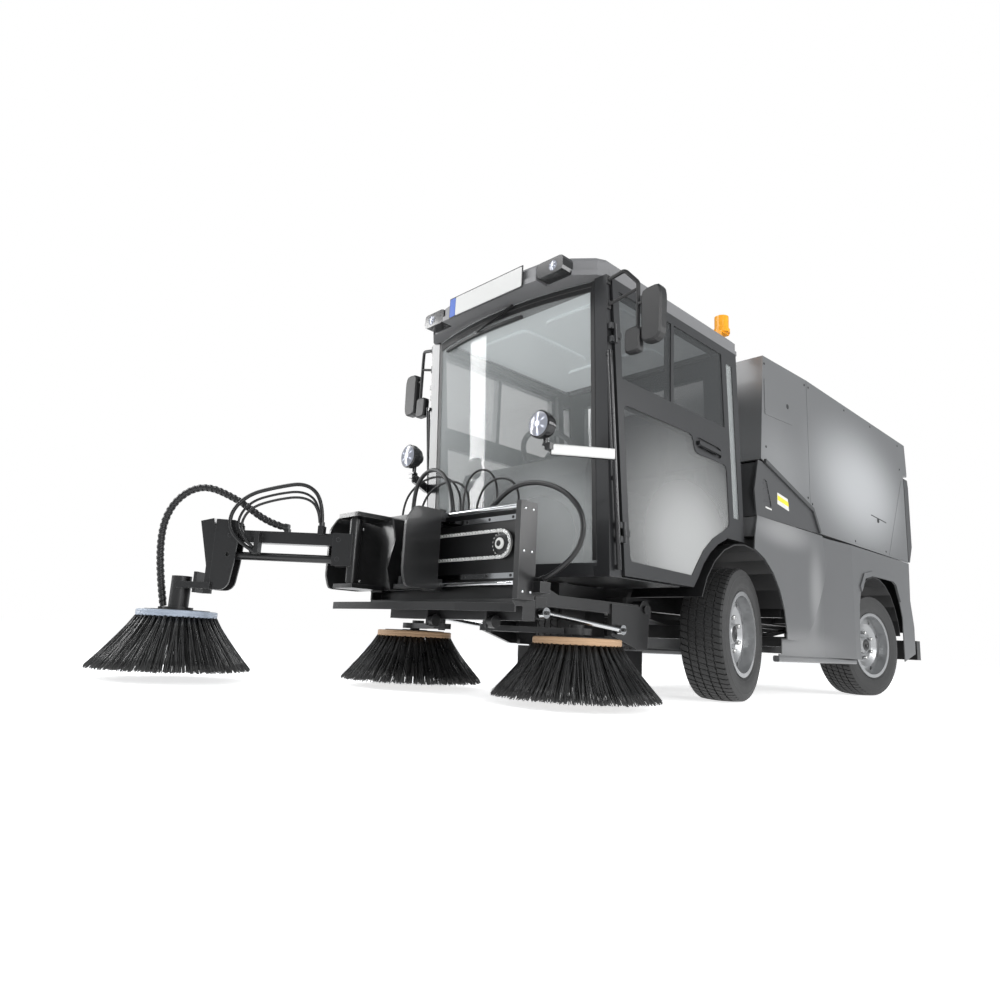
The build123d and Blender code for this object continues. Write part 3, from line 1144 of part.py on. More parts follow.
def chain_drive():
    """Roller chain: inner strand, outer link plates, and two toothed sprockets on their hubs."""
    front, back = PANEL_Y - 22 - CHAIN_WIDTH, PANEL_Y - 22
    centre_x = (SPROCKET_X + SPROCKET_FAR_X) / 2
    plane = Plane(origin=(centre_x, back, SPROCKET_Z), x_dir=(1, 0, 0), z_dir=(0, -1, 0))
    outer = SlotCenterToCenter(SPROCKET_SPAN, 2 * SPROCKET_RADIUS + 2 * CHAIN_PLATE_WAIST)
    inner = SlotCenterToCenter(SPROCKET_SPAN, 2 * SPROCKET_RADIUS - 2 * CHAIN_PLATE_WAIST)
    strand = extrude(plane * (outer - inner), amount=CHAIN_WIDTH)
    plates = [front_plate(chain_link(number), front - CHAIN_PLATE_THICKNESS,
                          front) for number in range(CHAIN_PITCHES // 2)]
    solids = []
    for x in (SPROCKET_X, SPROCKET_FAR_X):
        teeth = []
        for tooth in range(2 * SPROCKET_TEETH):
            angle = pi * tooth / SPROCKET_TEETH
            radius = SPROCKET_RADIUS - 11 + 8 * (tooth % 2)
            teeth.append((x + radius * cos(angle), SPROCKET_Z + radius * sin(angle)))
        wheel = front_plate(teeth, front + 3, back - 3)
        wheel += rod((x, PANEL_Y - 10, SPROCKET_Z), (x, front - 4, SPROCKET_Z), 22)
        solids.append(wheel)
    return strand + (solids + plates)


def guard_shelf():
    """Guard shelf below the panel, bowed in plan, with a folded lip along its front edge."""
    edge = [
        (PANEL_LEFT + 10, PANEL_Y - 66), (PANEL_LEFT - 40, PANEL_Y - 100), (200, PANEL_Y - 148),
        (-60, PANEL_Y - 176),
        (-340, PANEL_Y - 190), (-600, PANEL_Y - 196), (-655, PANEL_Y - 190),
    ]
    inner = [(x, y + 7) for x, y in reversed(edge)]
    shelf = flat_plate(edge + [(-640, PANEL_Y - 66)], 385, 393)
    shelf += flat_plate(edge + inner, 360, 386)
    return shelf + block(PANEL_RIGHT, PANEL_LEFT, PANEL_Y - 67, PANEL_Y - 10, 385, PANEL_BOTTOM)


def brush_arm(side, centre):
    """Arm from a pivot under the front unit to a side brush, with the brush's motor and drive shaft."""
    px, py = side * SIDE_PIVOT_X, SIDE_PIVOT_Y
    z0 = SIDE_BRUSH_BOTTOM + SIDE_BRUSH_HEIGHT + SIDE_DISC_HEIGHT + RUNNING
    arm = square_bar((px, py, z0 + 12), (centre[0], centre[1], z0 + 12), 70, 24)
    arm += upright(px, py, z0, z0 + 24, 42) + upright(centre[0], centre[1], z0, z0 + 26, 62)
    arm -= upright(px, py, z0 - 10, z0 + 60, 16.05)
    arm += upright(centre[0], centre[1], z0 - RUNNING - SIDE_DISC_HEIGHT - 60, z0, 24)
    inward = 12 * side
    motor = upright(centre[0] - inward, centre[1] + 10, z0 + 25, z0 + 40, 30)
    return arm + motor


def brush_solid(centre, bottom, height, disc_radius, disc_height, shaft_radius):
    """Round brush: a splayed crown of bristles under a disc, bored for its drive shaft."""
    x, y = centre
    top = bottom + height
    crown = turned([
        (BRUSH_RADIUS - 90, bottom), (BRUSH_RADIUS, bottom), (disc_radius - 8, top), (disc_radius - 80, top),
    ])
    disc = turned([(shaft_radius, top), (disc_radius, top), (disc_radius, top + disc_height),
                   (shaft_radius, top + disc_height)])
    return Pos(x, y, 0) * (crown + disc)


def carriage():
    """Carriage on the two rails: back plate with slider blocks, side plates and the boom's bosses."""
    p = CARRIAGE_PLATE
    back_y = RAIL_ROD_Y - 38
    plate = block(CARRIAGE_RIGHT, CARRIAGE_LEFT, back_y - p, back_y, CARRIAGE_BOTTOM, CARRIAGE_TOP)
    low, high = CARRIAGE_BOTTOM, CARRIAGE_TOP
    cheek = softened([
        (back_y, low), (CARRIAGE_FRONT + 20, low), (CARRIAGE_FRONT, low + 60), (CARRIAGE_FRONT, high - 70),
        (CARRIAGE_FRONT + 45, high), (back_y, high),
    ], 18)
    for x0, x1 in ((CARRIAGE_RIGHT, CARRIAGE_RIGHT + p), (CARRIAGE_LEFT - p, CARRIAGE_LEFT)):
        plate += side_plate(cheek, x0, x1)
    plate += side_plate([(back_y, low), (back_y - 70, low), (back_y - 95, low + 90),
                         (back_y - 60, high - 120),
                         (back_y - 80, high - 30), (back_y, high - 30)], CARRIAGE_RIB_X, CARRIAGE_RIB_X + 10)
    for z in (RAIL_ROD_HIGH, RAIL_ROD_LOW):
        for x in (-455, -60):
            plate += block(x - 45, x + 45, back_y - 1, RAIL_ROD_Y, z - 26, z + 26)
    for z in (RAIL_ROD_HIGH, RAIL_ROD_LOW):
        plate -= rod((CARRIAGE_RIGHT - 10, RAIL_ROD_Y, z), (CARRIAGE_LEFT + 10, RAIL_ROD_Y, z),
                     RAIL_ROD_RADIUS + 0.5)
    x, y = BOOM_PIVOT
    for z0, z1 in ((low, low + 20), (high - 20, high)):
        shelf = block(x - 80, x + 80, y - 45, back_y - 5, z0, z1)
        plate += shelf - upright(x, y, z0 - 5, z1 + 5, 22.05)
    plate += block(-235, -CARRIAGE_PLATE - 2, back_y - 62, back_y - 5, low + 4, low + 24)
    plate += rod((-215, back_y - 34, low + 22), (-215, back_y - 34, low + 60), 16)
    plate += rod((-190, back_y - 5, 610), (-190, back_y - 48, 610), 24)
    return plate


def boom_pivot():
    """Upright post that swings in the carriage, with ears for the boom and its parallel link."""
    x, y = BOOM_PIVOT
    along, across = boom_frame()
    post = upright(x, y, CARRIAGE_BOTTOM, CARRIAGE_TOP, 22) + upright(x, y, CARRIAGE_BOTTOM + 28,
                                                                      CARRIAGE_TOP - 28, 28)
    for side in (1, -1):
        base = Vector(x, y, 0) + across * (side * (BOOM_SECTION / 2 + 8))
        start, end = base + along * 20, base + along * (BOOM_ROOT + 26)
        ear = square_bar(tuple(start + Vector(0, 0, 625)), tuple(end + Vector(0, 0, 625)), 10, 150)
        post += ear
    post += square_bar((x, y, 625), tuple(Vector(x, y, 625) + along * (BOOM_ROOT - BOOM_SECTION / 2 - 7)),
                       BOOM_SECTION + 26, 150)
    for z in (BOOM_HIGH, BOOM_LOW):
        middle = Vector(x, y, z) + along * BOOM_ROOT
        post -= rod(tuple(middle - across * 60), tuple(middle + across * 60), 10.0)
    return post


def boom():
    """Box boom between the pivot post and the head."""
    x, y = BOOM_PIVOT
    along, across = boom_frame()
    root = Vector(x, y, BOOM_HIGH) + along * BOOM_ROOT
    tip = root + along * BOOM_REACH
    bar = square_bar(tuple(root), tuple(tip), BOOM_SECTION, BOOM_SECTION)
    for end in (root, tip):
        bar += rod(tuple(end - across * BOOM_SECTION / 2), tuple(end + across * BOOM_SECTION / 2),
                   BOOM_SECTION / 2)
        bar += rod(tuple(end - across * (BOOM_SECTION / 2 + 12)),
                   tuple(end + across * (BOOM_SECTION / 2 + 12)), 9.95)
    routes = hose_routes()
    half, top = BOOM_SECTION / 2, BOOM_HIGH + BOOM_SECTION / 2
    bar += hose_socket(routes["hose_boom_loop"][1], 13, 20)
    bar += boom_block(132, 158, half - 2, BOOM_LOOP_OFFSET + 14, top - 12, top + 30)
    bar += boom_block(430, 452, half - 2, BOOM_LOOP_OFFSET + 12, 588, top - 10)
    clamp = hose_socket(routes["hose_boom_bundle"][1][-2:], 18, 22) & boom_block(300, 346, -60, 60, top - 2,
                                                                                 top + 60)
    bar += clamp + boom_block(318, 338, -30, 8, top - 1, top + 20)
    return bar


def boom_link():
    """Parallel link under the boom, a cylinder that keeps the head level."""
    x, y = BOOM_PIVOT
    along, across = boom_frame()
    root = Vector(x, y, BOOM_LOW) + along * BOOM_ROOT
    tip = root + along * BOOM_REACH
    bar = rod(tuple(root), tuple(tip), BOOM_LINK_RADIUS)
    for end in (root, tip):
        bar += rod(tuple(end - across * BOOM_SECTION / 2), tuple(end + across * BOOM_SECTION / 2),
                   BOOM_LINK_RADIUS + 4)
    bar += rod(tuple(root - across * (BOOM_SECTION / 2 + 12)),
               tuple(root + across * (BOOM_SECTION / 2 + 12)), 9.95)
    return bar


def boom_head():
    """Head at the boom's tip: plates, a slanted actuator, the brush's arm, motor and drive shaft."""
    x, y = BOOM_PIVOT
    along, across = boom_frame()
    tip = Vector(x, y, 0) + along * (BOOM_ROOT + BOOM_REACH)
    up = Vector(0, 0, 1)
    centre = Vector(THIRD_BRUSH[0], THIRD_BRUSH[1], 0)
    head = None
    for side in (1, -1):
        outline = softened([(-34, 540), (-40, 640), (-34, 742), (60, 745), (64, 415), (6, 415), (-20, 440)],
                           16)
        face = make_face(Polyline([(s, z) for s, z in outline], close=True))
        middle = tip + across * (side * (BOOM_SECTION / 2 + 8))
        plate = extrude(Plane(origin=middle, x_dir=along, z_dir=along.cross(up)) * face, amount=5, both=True)
        head = plate if head is None else head + plate
    head += square_bar(tuple(tip + along * 50 + up * 580), tuple(tip + along * 70 + up * 580), 82, 330)
    head += square_bar(tuple(tip + along * 66 + up * 520), tuple(tip + along * 120 + up * 742), 58, 64)
    head += square_bar(tuple(tip + along * 60 + across * 30 + up * 470),
                       tuple(tip + along * 96 + across * 30 + up * 470), 16, 150)
    arm_z = THIRD_BRUSH_BOTTOM + THIRD_BRUSH_HEIGHT + 130
    head += square_bar(tuple(tip + along * 60 + up * (arm_z + 20)), tuple(centre + up * (arm_z + 20)), 110,
                       30)
    head += square_bar(tuple(centre - along * 92 + up * (arm_z + 34)),
                       tuple(centre - along * 76 + up * (arm_z + 34)), 90, 96)
    head += upright(centre.X, centre.Y, arm_z - 90, arm_z + 60, 44)
    head += upright(centre.X, centre.Y, arm_z - 100, arm_z - 84, 66)
    head += boom_block(850, 896, -28, 4, arm_z - 100, arm_z - 84)
    head += upright(centre.X, centre.Y, THIRD_BRUSH_BOTTOM + THIRD_BRUSH_HEIGHT - 40, arm_z - 80, 24)
    for z in (BOOM_HIGH, BOOM_LOW):
        middle = Vector(tip.X, tip.Y, z)
        head -= rod(tuple(middle - across * 60), tuple(middle + across * 60), 10.0)
    return head


def mirrors():
    """Main and wide-angle mirror heads on a bent tube arm with a brace, at the front pillars."""
    y = -1122.0
    main = front_plate(softened([
        (MIRROR_X - 50, 1500), (MIRROR_X - 52, 1738), (MIRROR_X + 40, 1745), (MIRROR_X + 52, 1700),
        (MIRROR_X + 48, 1520), (MIRROR_X + 20, 1494),
    ], 26), y - 18, y + 26)
    main = chamfer(main.faces().sort_by(Axis.Y)[0].edges(), 8)
    wide = front_plate(softened([
        (WIDE_MIRROR_X - 40, 1472), (WIDE_MIRROR_X - 42, 1584), (WIDE_MIRROR_X + 36, 1586),
        (WIDE_MIRROR_X + 38, 1470),
    ], 20), y - 14, y + 20)
    wide = chamfer(wide.faces().sort_by(Axis.Y)[0].edges(), 7)
    face = CAB_HALF_WIDTH + SEAT
    foot_high, foot_low = cab_front_y(1835) + 12, cab_front_y(1720) + 12
    arm = pipe([(face + 4, foot_high, 1835), (MIRROR_POST_X - 48, foot_high, 1850),
                (MIRROR_POST_X, y + 4, 1790), (MIRROR_POST_X, y + 4, 1500)], 9, 26)
    arm += rod((face + 4, foot_low, 1720), (MIRROR_POST_X - 6, y + 4, 1762), 7)
    arm += rod((MIRROR_X - 40, y + 4, 1690), (MIRROR_POST_X, y + 4, 1690), 8)
    for z, foot_y in ((1835, foot_high), (1720, foot_low)):
        arm += block(face, face + 6, foot_y - 12, foot_y + 12, z - 20, z + 20)
    return both_sides(arm + main + wide)


def headlamps():
    """Working headlamps with finned backs on bars, tubes beside the pillars, and the brow's lamps."""
    y = -1395.0
    shell = turned([
        (0, 0), (LAMP_RADIUS - 6, 0), (LAMP_RADIUS, 5), (LAMP_RADIUS, 30), (LAMP_RADIUS - 9, 34),
        (LAMP_RADIUS - 7, 48),
        (LAMP_RADIUS - 15, 50), (LAMP_RADIUS - 14, 62), (LAMP_RADIUS - 26, 66), (24, 84), (0, 86),
    ])
    lamp = Plane(origin=(LAMP_X, y, LAMP_HEIGHT), x_dir=(1, 0, 0), z_dir=(0, 1, 0)) * shell
    bar_z = LAMP_HEIGHT - LAMP_RADIUS - 40
    tube_x = CAB_HALF_WIDTH + 18
    tube_back = -46.0
    foot_y = door_front_y(bar_z) + tube_back
    lamp += square_bar((tube_x + 2, foot_y - 10, bar_z), (LAMP_X + 16, y + 62, bar_z), 8, 48)
    lamp += block(LAMP_X + 4, LAMP_X + 34, y + 40, y + 74, bar_z - 4, bar_z + 24)
    lamp += upright(LAMP_X, y + 48, bar_z + 16, LAMP_HEIGHT - 30, 10) + block(LAMP_X - 10, LAMP_X + 30,
                                                                              y + 38, y + 58, bar_z + 16,
                                                                              bar_z + 24)
    low, high = 560.0, 1500.0
    lamp += rod((tube_x, door_front_y(low) + tube_back, low),
                (tube_x, door_front_y(high) + tube_back, high), 11)
    for z in (low + 12, 945.0, high - 12):
        middle = door_front_y(z) + tube_back
        lamp += block(CAB_HALF_WIDTH + SEAT, tube_x, middle - 8, middle + 8, z - 9, z + 9)
    brow = front_plate(softened([
        (BROW_LAMP_X - BROW_LAMP_HALF, 1866), (BROW_LAMP_X - BROW_LAMP_HALF, BROW_LAMP_TOP),
        (BROW_LAMP_X + BROW_LAMP_HALF, BROW_LAMP_TOP), (BROW_LAMP_X + BROW_LAMP_HALF, 1866),
    ], 20), BROW_FRONT + 16, BROW_LAMP_BACK)
    return both_sides(lamp) + both_sides(brow)


def beacons():
    """Amber beacon on a bracket at the rear edge of the cab's roof."""
    x0, x1 = BEACON_X - 25, BEACON_X + 25
    bracket = block(x0, x1, ROOF_REAR + SEAT, ROOF_REAR + 6, CAB_EAVES + 20, BEACON_FOOT)
    bracket += block(x0, x1, ROOF_REAR + SEAT, ROOF_REAR + 90, BEACON_FOOT - 6, BEACON_FOOT)
    dome = upright(BEACON_X, ROOF_REAR + 50, BEACON_FOOT - 1, BEACON_FOOT + 22, 46)
    dome += upright(BEACON_X, ROOF_REAR + 50, BEACON_FOOT + 20, BEACON_FOOT + 100, 40)
    return [bracket + dome]


def number_plate():
    """Blank number plate on the brow."""
    return block(-260, 260, BROW_FRONT - SEAT - 4, BROW_FRONT - SEAT, 1848, 1958)


def build_nodes():
    """All sub-parts by node name."""
    nodes = {}
    nodes["chassis_frame"] = chassis_frame()
    nodes["tow_jaw"] = [tow_jaw()]
    nodes["axles"] = axle_beams()
    nodes["engine_block"] = [engine_block()]
    for name, side, axle_y, turn in CORNERS:
        place = corner_place(side, axle_y, turn)
        nodes["knuckle_" + name] = [place * knuckle_solid()]
        nodes["rim_" + name] = [place * rim_solid()]
        nodes["tyre_" + name] = [place * tyre_solid()]
    nodes["cab_shell"] = [cab_shell()]
    nodes["cab_roof"] = [cab_roof()]
    nodes["cab_glass"] = windscreen() + quarter_windows()
    nodes["cab_interior"] = cab_interior()
    nodes["seat_cushions"] = seat_cushions()
    door, panes = door_solid(), door_glass()
    nodes["door_left"] = [door]
    nodes["door_left_glass"] = panes
    nodes["door_right"] = [mirror(door, Plane.YZ)]
    nodes["door_right_glass"] = [mirror(pane, Plane.YZ) for pane in panes]
    side_panel = body_side()
    nodes["body_left"] = [side_panel]
    nodes["body_right"] = [mirror(side_panel, Plane.YZ)]
    nodes["body_rear"] = body_rear()
    nodes["vent_panels"] = vent_panels()
    nodes["wheel_liners"] = wheel_liners()
    nodes["hopper_body"] = [hopper_body()]
    nodes["hopper_tailgate"] = [tailgate()]
    nodes["tip_barrels"] = tip_barrels()
    nodes["tip_rods"] = tip_rods()
    nodes["suction_mouth"] = [suction_mouth()]
    nodes["suction_duct"] = suction_duct()
    nodes["front_arms"] = front_arms()
    nodes["tie_rods"] = tie_rods()
    nodes["front_frame"] = [front_frame()]
    nodes["slide_rails"] = slide_rails()
    nodes["chain_drive"] = [chain_drive()]
    nodes["guard_shelf"] = [guard_shelf()]
    for name, side, centre in (("left", 1, LEFT_BRUSH), ("right", -1, RIGHT_BRUSH)):
        nodes["brush_arm_" + name] = [brush_arm(side, centre)]
        nodes["brush_" + name] = [brush_solid(centre, SIDE_BRUSH_BOTTOM, SIDE_BRUSH_HEIGHT, SIDE_DISC_RADIUS,
                                              SIDE_DISC_HEIGHT, 24.05)]
    nodes["carriage"] = [carriage()]
    nodes["boom_pivot"] = [boom_pivot()]
    nodes["boom"] = [boom()]
    nodes["boom_link"] = [boom_link()]
    nodes["boom_head"] = [boom_head()]
    nodes["brush_third"] = [brush_solid(THIRD_BRUSH, THIRD_BRUSH_BOTTOM, THIRD_BRUSH_HEIGHT,
                                        THIRD_DISC_RADIUS,
                                        24.0, 24.05)]
    nodes["mirrors"] = mirrors()
    nodes["headlamps"] = headlamps()
    nodes["beacons"] = beacons()
    nodes["number_plate"] = [number_plate()]
    for name, (diameter, points) in hose_routes().items():
        nodes[name] = [hose_solid(diameter, points)]
    return nodes


def footprint_shift(nodes):
    """Vector from the drawing origin to the middle of the whole object's footprint."""
    boxes = [solid.bounding_box() for solids in nodes.values() for solid in solids]
    x0, x1 = min(b.min.X for b in boxes), max(b.max.X for b in boxes)
    y0, y1 = min(b.min.Y for b in boxes), max(b.max.Y for b in boxes)
    z0 = min(b.min.Z for b in boxes)
    return Vector((x0 + x1) / 2, (y0 + y1) / 2, z0)


NODES = build_nodes()
SHIFT = footprint_shift(NODES)

os.makedirs("parts", exist_ok=True)
for node, solids in NODES.items():
    moved = [Pos(-SHIFT.X, -SHIFT.Y, -SHIFT.Z) * solid for solid in solids]
    shape = moved[0] if len(moved) == 1 else Compound(children=moved)
    export_step(shape, "parts/" + node + ".step")
print("shift", SHIFT, "nodes", len(NODES))
for name, (diameter, points) in hose_routes().items():
    radii = bend_radii(points)
    print(name, "diameter", diameter, "bend radii", [round(radius) for radius in radii])
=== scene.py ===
"""Compact street sweeper: camera, light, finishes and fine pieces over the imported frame.

All lengths are in metres in the row's frame: +X is the vehicle's left, -Y its front and +Z up.
"""
import logging
import math
from dataclasses import dataclass
from functools import cached_property

import bpy
import numpy as np
from mathutils import Matrix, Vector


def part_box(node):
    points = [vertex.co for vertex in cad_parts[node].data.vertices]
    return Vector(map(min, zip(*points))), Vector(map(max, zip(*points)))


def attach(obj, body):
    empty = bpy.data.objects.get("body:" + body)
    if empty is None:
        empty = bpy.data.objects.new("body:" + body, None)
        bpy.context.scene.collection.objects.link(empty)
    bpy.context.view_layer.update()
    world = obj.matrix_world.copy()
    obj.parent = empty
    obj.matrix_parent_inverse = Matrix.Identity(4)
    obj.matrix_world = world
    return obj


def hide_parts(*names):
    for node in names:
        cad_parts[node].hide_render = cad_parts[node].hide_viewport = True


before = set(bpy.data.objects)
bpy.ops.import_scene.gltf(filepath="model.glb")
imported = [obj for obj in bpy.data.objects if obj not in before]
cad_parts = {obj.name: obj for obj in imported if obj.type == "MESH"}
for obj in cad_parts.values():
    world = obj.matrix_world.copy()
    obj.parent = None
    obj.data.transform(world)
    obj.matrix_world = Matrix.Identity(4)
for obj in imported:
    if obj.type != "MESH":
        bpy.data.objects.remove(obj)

LOG = logging.getLogger("sweeper")
Colour = tuple[float, float, float]
Point = tuple[float, float, float]
LEFTWARD, REARWARD, UPWARD = (1.0, 0.0, 0.0), (0.0, 1.0, 0.0), (0.0, 0.0, 1.0)
FORWARD = (0.0, -1.0, 0.0)


def middle_of(*nodes: str) -> np.ndarray:
    """Middle of the box round some frame nodes.

    Args:
        nodes: names of the frame's nodes.

    Returns:
        The middle point of their common box.
    """
    corners = np.array([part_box(node) for node in nodes])
    return (corners[:, 0].min(axis=0) + corners[:, 1].max(axis=0)) / 2


def vehicle_origin() -> np.ndarray:
    """Point on the ground under the front axle's middle, from which the vehicle's own sizes count.

    Returns:
        The point in the row's frame.
    """
    centre = middle_of("tyre_front_left", "tyre_front_right")
    return np.array([centre[0], centre[1], 0.0])


ORIGIN = vehicle_origin()


def unit(vector: np.ndarray) -> np.ndarray:
    """A vector brought to length one."""
    return vector / np.linalg.norm(vector)


class MeshMaker:
    """Turns arrays of points and faces into finished objects at the origin."""

    @staticmethod
    def build(name: str, points: np.ndarray, faces: object, smooth: bool = True) -> bpy.types.Object:
        """Make an object from points and faces.

        Args:
            name: the object's name.
            points: (n, 3) array of points in the row's frame.
            faces: (m, 3) or (m, 4) array of point numbers, or a list of such rows.
            smooth: whether the faces shade smoothly.

        Returns:
            The new object, linked into the scene.
        """
        mesh = bpy.data.meshes.new(name)
        rows = faces.tolist() if isinstance(faces, np.ndarray) else faces
        mesh.from_pydata(points.reshape(-1, 3).tolist(), [], rows)
        mesh.polygons.foreach_set("use_smooth", np.full(len(mesh.polygons), smooth))
        mesh.update()
        piece = bpy.data.objects.new(name, mesh)
        bpy.context.scene.collection.objects.link(piece)
        return piece

    @staticmethod
    def grid_faces(rows: int, columns: int, close_rows: bool = False,
                   close_columns: bool = False) -> np.ndarray:
        """Quads of a rows by columns grid of points, each made of a point and its three next neighbours.

        Args:
            rows: number of point rows.
            columns: number of points in each row.
            close_rows: whether the last row joins the first.
            close_columns: whether the last column joins the first.

        Returns:
            (m, 4) array of point numbers.
        """
        row = np.arange(rows if close_rows else rows - 1)
        column = np.arange(columns if close_columns else columns - 1)
        r, c = (part.ravel() for part in np.meshgrid(row, column, indexing="ij"))
        next_r, next_c = (r + 1) % rows, (c + 1) % columns
        corners = ((r, c), (r, next_c), (next_r, next_c), (next_r, c))
        return np.stack([high * columns + low for high, low in corners], axis=1)


class NodeTools:
    """Short forms for building shader trees."""

    def __init__(self, tree: bpy.types.NodeTree) -> None:
        """Work on one tree."""
        self.tree = tree

    def feed(self, value: object, target: bpy.types.NodeSocket) -> None:
        """Link an output to an input, or set a constant on it, a colour with its fourth channel.

        Args:
            value: a socket, a number, a vector or a colour.
            target: the input.
        """
        if isinstance(value, bpy.types.NodeSocket):
            self.tree.links.new(value, target)
        elif target.type == "RGBA":
            target.default_value = (*value, 1.0)
        else:
            target.default_value = value

    def add(self, kind: str, feeds: dict[object, object] | None = None, **values: object) -> bpy.types.Node:
        """Add a node, set its properties and feed its inputs.

        Args:
            kind: the node's type name.
            feeds: sockets or constants by input name or number.
            values: properties by name.

        Returns:
            The node.
        """
        node = self.tree.nodes.new(kind)
        for name, value in values.items():
            setattr(node, name, value)
        for socket, value in (feeds or {}).items():
            self.feed(value, node.inputs[socket])
        return node

    def maths(self, operation: str, first: object, second: object) -> bpy.types.NodeSocket:
        """Add a Math node over two sockets or numbers and return its result's socket."""
        return self.add("ShaderNodeMath", {0: first, 1: second}, operation=operation).outputs[0]

    def blend(self, factor: object, low: object, high: object) -> bpy.types.NodeSocket:
        """Mix two colours, low at factor 0 and high at 1, and return the mixed colour's socket."""
        return self.add("ShaderNodeMix", {0: factor, 6: low, 7: high}, data_type="RGBA").outputs[2]


@dataclass(frozen=True)
class Canvas:
    """A new material: its tree, its shader, the object coordinates and the shared surface values."""

    material: bpy.types.Material
    tools: NodeTools
    vector: bpy.types.NodeSocket
    patches: bpy.types.NodeSocket
    grain: bpy.types.NodeSocket

    def fill(self, feeds: dict[str, object]) -> bpy.types.Material:
        """Feed inputs of the material's shader.

        Args:
            feeds: sockets or constants by input name.

        Returns:
            The material.
        """
        shader = self.material.node_tree.nodes["Principled BSDF"]
        for socket, value in feeds.items():
            self.tools.feed(value, shader.inputs[socket])
        return self.material


class Groups:
    """Shader groups that several finishes share, each built at its first use."""

    @staticmethod
    def begin(name: str, inputs: dict[str, float | None], outputs: tuple[str, ...]) -> tuple:
        """Start a group with its named sockets.

        Args:
            name: the group's name.
            inputs: default by input name, None for a vector.
            outputs: names of the outputs, all values.

        Returns:
            The tree, its tools, the group's inputs and its outputs.
        """
        tree = bpy.data.node_groups.new(name, "ShaderNodeTree")
        for label, value in inputs.items():
            kind = "NodeSocketVector" if value is None else "NodeSocketFloat"
            socket = tree.interface.new_socket(label, in_out="INPUT", socket_type=kind)
            if value is not None:
                socket.default_value = value
        for label in outputs:
            tree.interface.new_socket(label, in_out="OUTPUT", socket_type="NodeSocketFloat")
        tools = NodeTools(tree)
        return tree, tools, tools.add("NodeGroupInput").outputs, tools.add("NodeGroupOutput").inputs

    @cached_property
    def surface(self) -> bpy.types.ShaderNodeTree:
        """Broad patches and fine grain: two noises, each less one half, so that both vary round zero.

        Returns:
            The group's tree.
        """
        tree, tools, entry, leave = self.begin(
            "surface_patches_and_grain", {"Vector": None, "Patch Scale": 3.0, "Grain Scale": 400.0,
                                          "Stretch": 1.0},
            ("Patches", "Grain"),
        )
        stretch = tools.add("ShaderNodeCombineXYZ", {"X": 1.0, "Y": 1.0, "Z": entry["Stretch"]})
        scaled = tools.add("ShaderNodeVectorMath", {0: entry["Vector"], 1: stretch.outputs[0]},
                           operation="MULTIPLY")
        for name, vector, detail in (("Patch", entry["Vector"], 4.0), ("Grain", scaled.outputs[0], 2.0)):
            feeds = {"Vector": vector, "Scale": entry[name + " Scale"], "Detail": detail}
            noise = tools.add("ShaderNodeTexNoise", feeds)
            target = leave["Patches" if name == "Patch" else name]
            tools.feed(tools.maths("SUBTRACT", noise.outputs["Fac"], 0.5), target)
        return tree

    @cached_property
    def painted_light_falloff(self) -> bpy.types.ShaderNodeTree:
        """A mask that falls smoothly from one at a centre to nothing at its reach along each axis; it places
        the soft patches of painted light.

        Returns:
            The group's tree.
        """
        tree, tools, entry, leave = self.begin("painted_light_falloff", dict.fromkeys(("Vector", "Centre", "Reach")),
                                               ("Mask",))
        away = tools.add("ShaderNodeVectorMath", {0: entry["Vector"], 1: entry["Centre"]},
                         operation="SUBTRACT")
        share = tools.add("ShaderNodeVectorMath", {0: away.outputs[0], 1: entry["Reach"]}, operation="DIVIDE")
        far = tools.add("ShaderNodeVectorMath", {0: share.outputs[0]}, operation="LENGTH")
        feeds = {"Value": far.outputs["Value"], "To Min": 1.0, "To Max": 0.0}
        fall = tools.add("ShaderNodeMapRange", feeds, interpolation_type="SMOOTHERSTEP")
        tools.feed(fall.outputs["Result"], leave["Mask"])
        return tree

    @cached_property
    def edges(self) -> bpy.types.ShaderNodeTree:
        """Worn edges: how far a rounded normal departs from the plain one, broken up by noise.

        Returns:
            The group's tree.
        """
        tree, tools, entry, leave = self.begin("worn_edges", {"Vector": None, "Radius": 0.002}, ("Mask",))
        bevel = tools.add("ShaderNodeBevel", {"Radius": entry["Radius"]}, samples=4)
        plain = tools.add("ShaderNodeNewGeometry").outputs["Normal"]
        facing = tools.add("ShaderNodeVectorMath", {0: bevel.outputs[0], 1: plain}, operation="DOT_PRODUCT")
        noise = tools.add("ShaderNodeTexNoise", {"Vector": entry["Vector"], "Scale": 60.0})
        bend = tools.maths("SUBTRACT", 1.0, facing.outputs["Value"])
        mask = tools.maths("MULTIPLY", tools.maths("MULTIPLY", bend, 6.0), noise.outputs["Fac"])
        tools.feed(tools.add("ShaderNodeClamp", {"Value": mask}).outputs[0], leave["Mask"])
        return tree

    def start(self, name: str, patch_scale: float, grain_scale: float = 400.0,
              stretch: float = 1.0) -> Canvas:
        """Start a material over the shared surface values.

        Args:
            name: the material's name.
            patch_scale: scale of the broad patches.
            grain_scale: scale of the fine grain.
            stretch: how much finer the grain is along Z.

        Returns:
            The material's canvas.
        """
        material = bpy.data.materials.new(name)
        material.use_nodes = True
        tools = NodeTools(material.node_tree)
        vector = tools.add("ShaderNodeTexCoord").outputs["Object"]
        feeds = {"Vector": vector, "Patch Scale": patch_scale, "Grain Scale": grain_scale, "Stretch": stretch}
        values = tools.add("ShaderNodeGroup", feeds, node_tree=self.surface).outputs
        return Canvas(material, tools, vector, values["Patches"], values["Grain"])

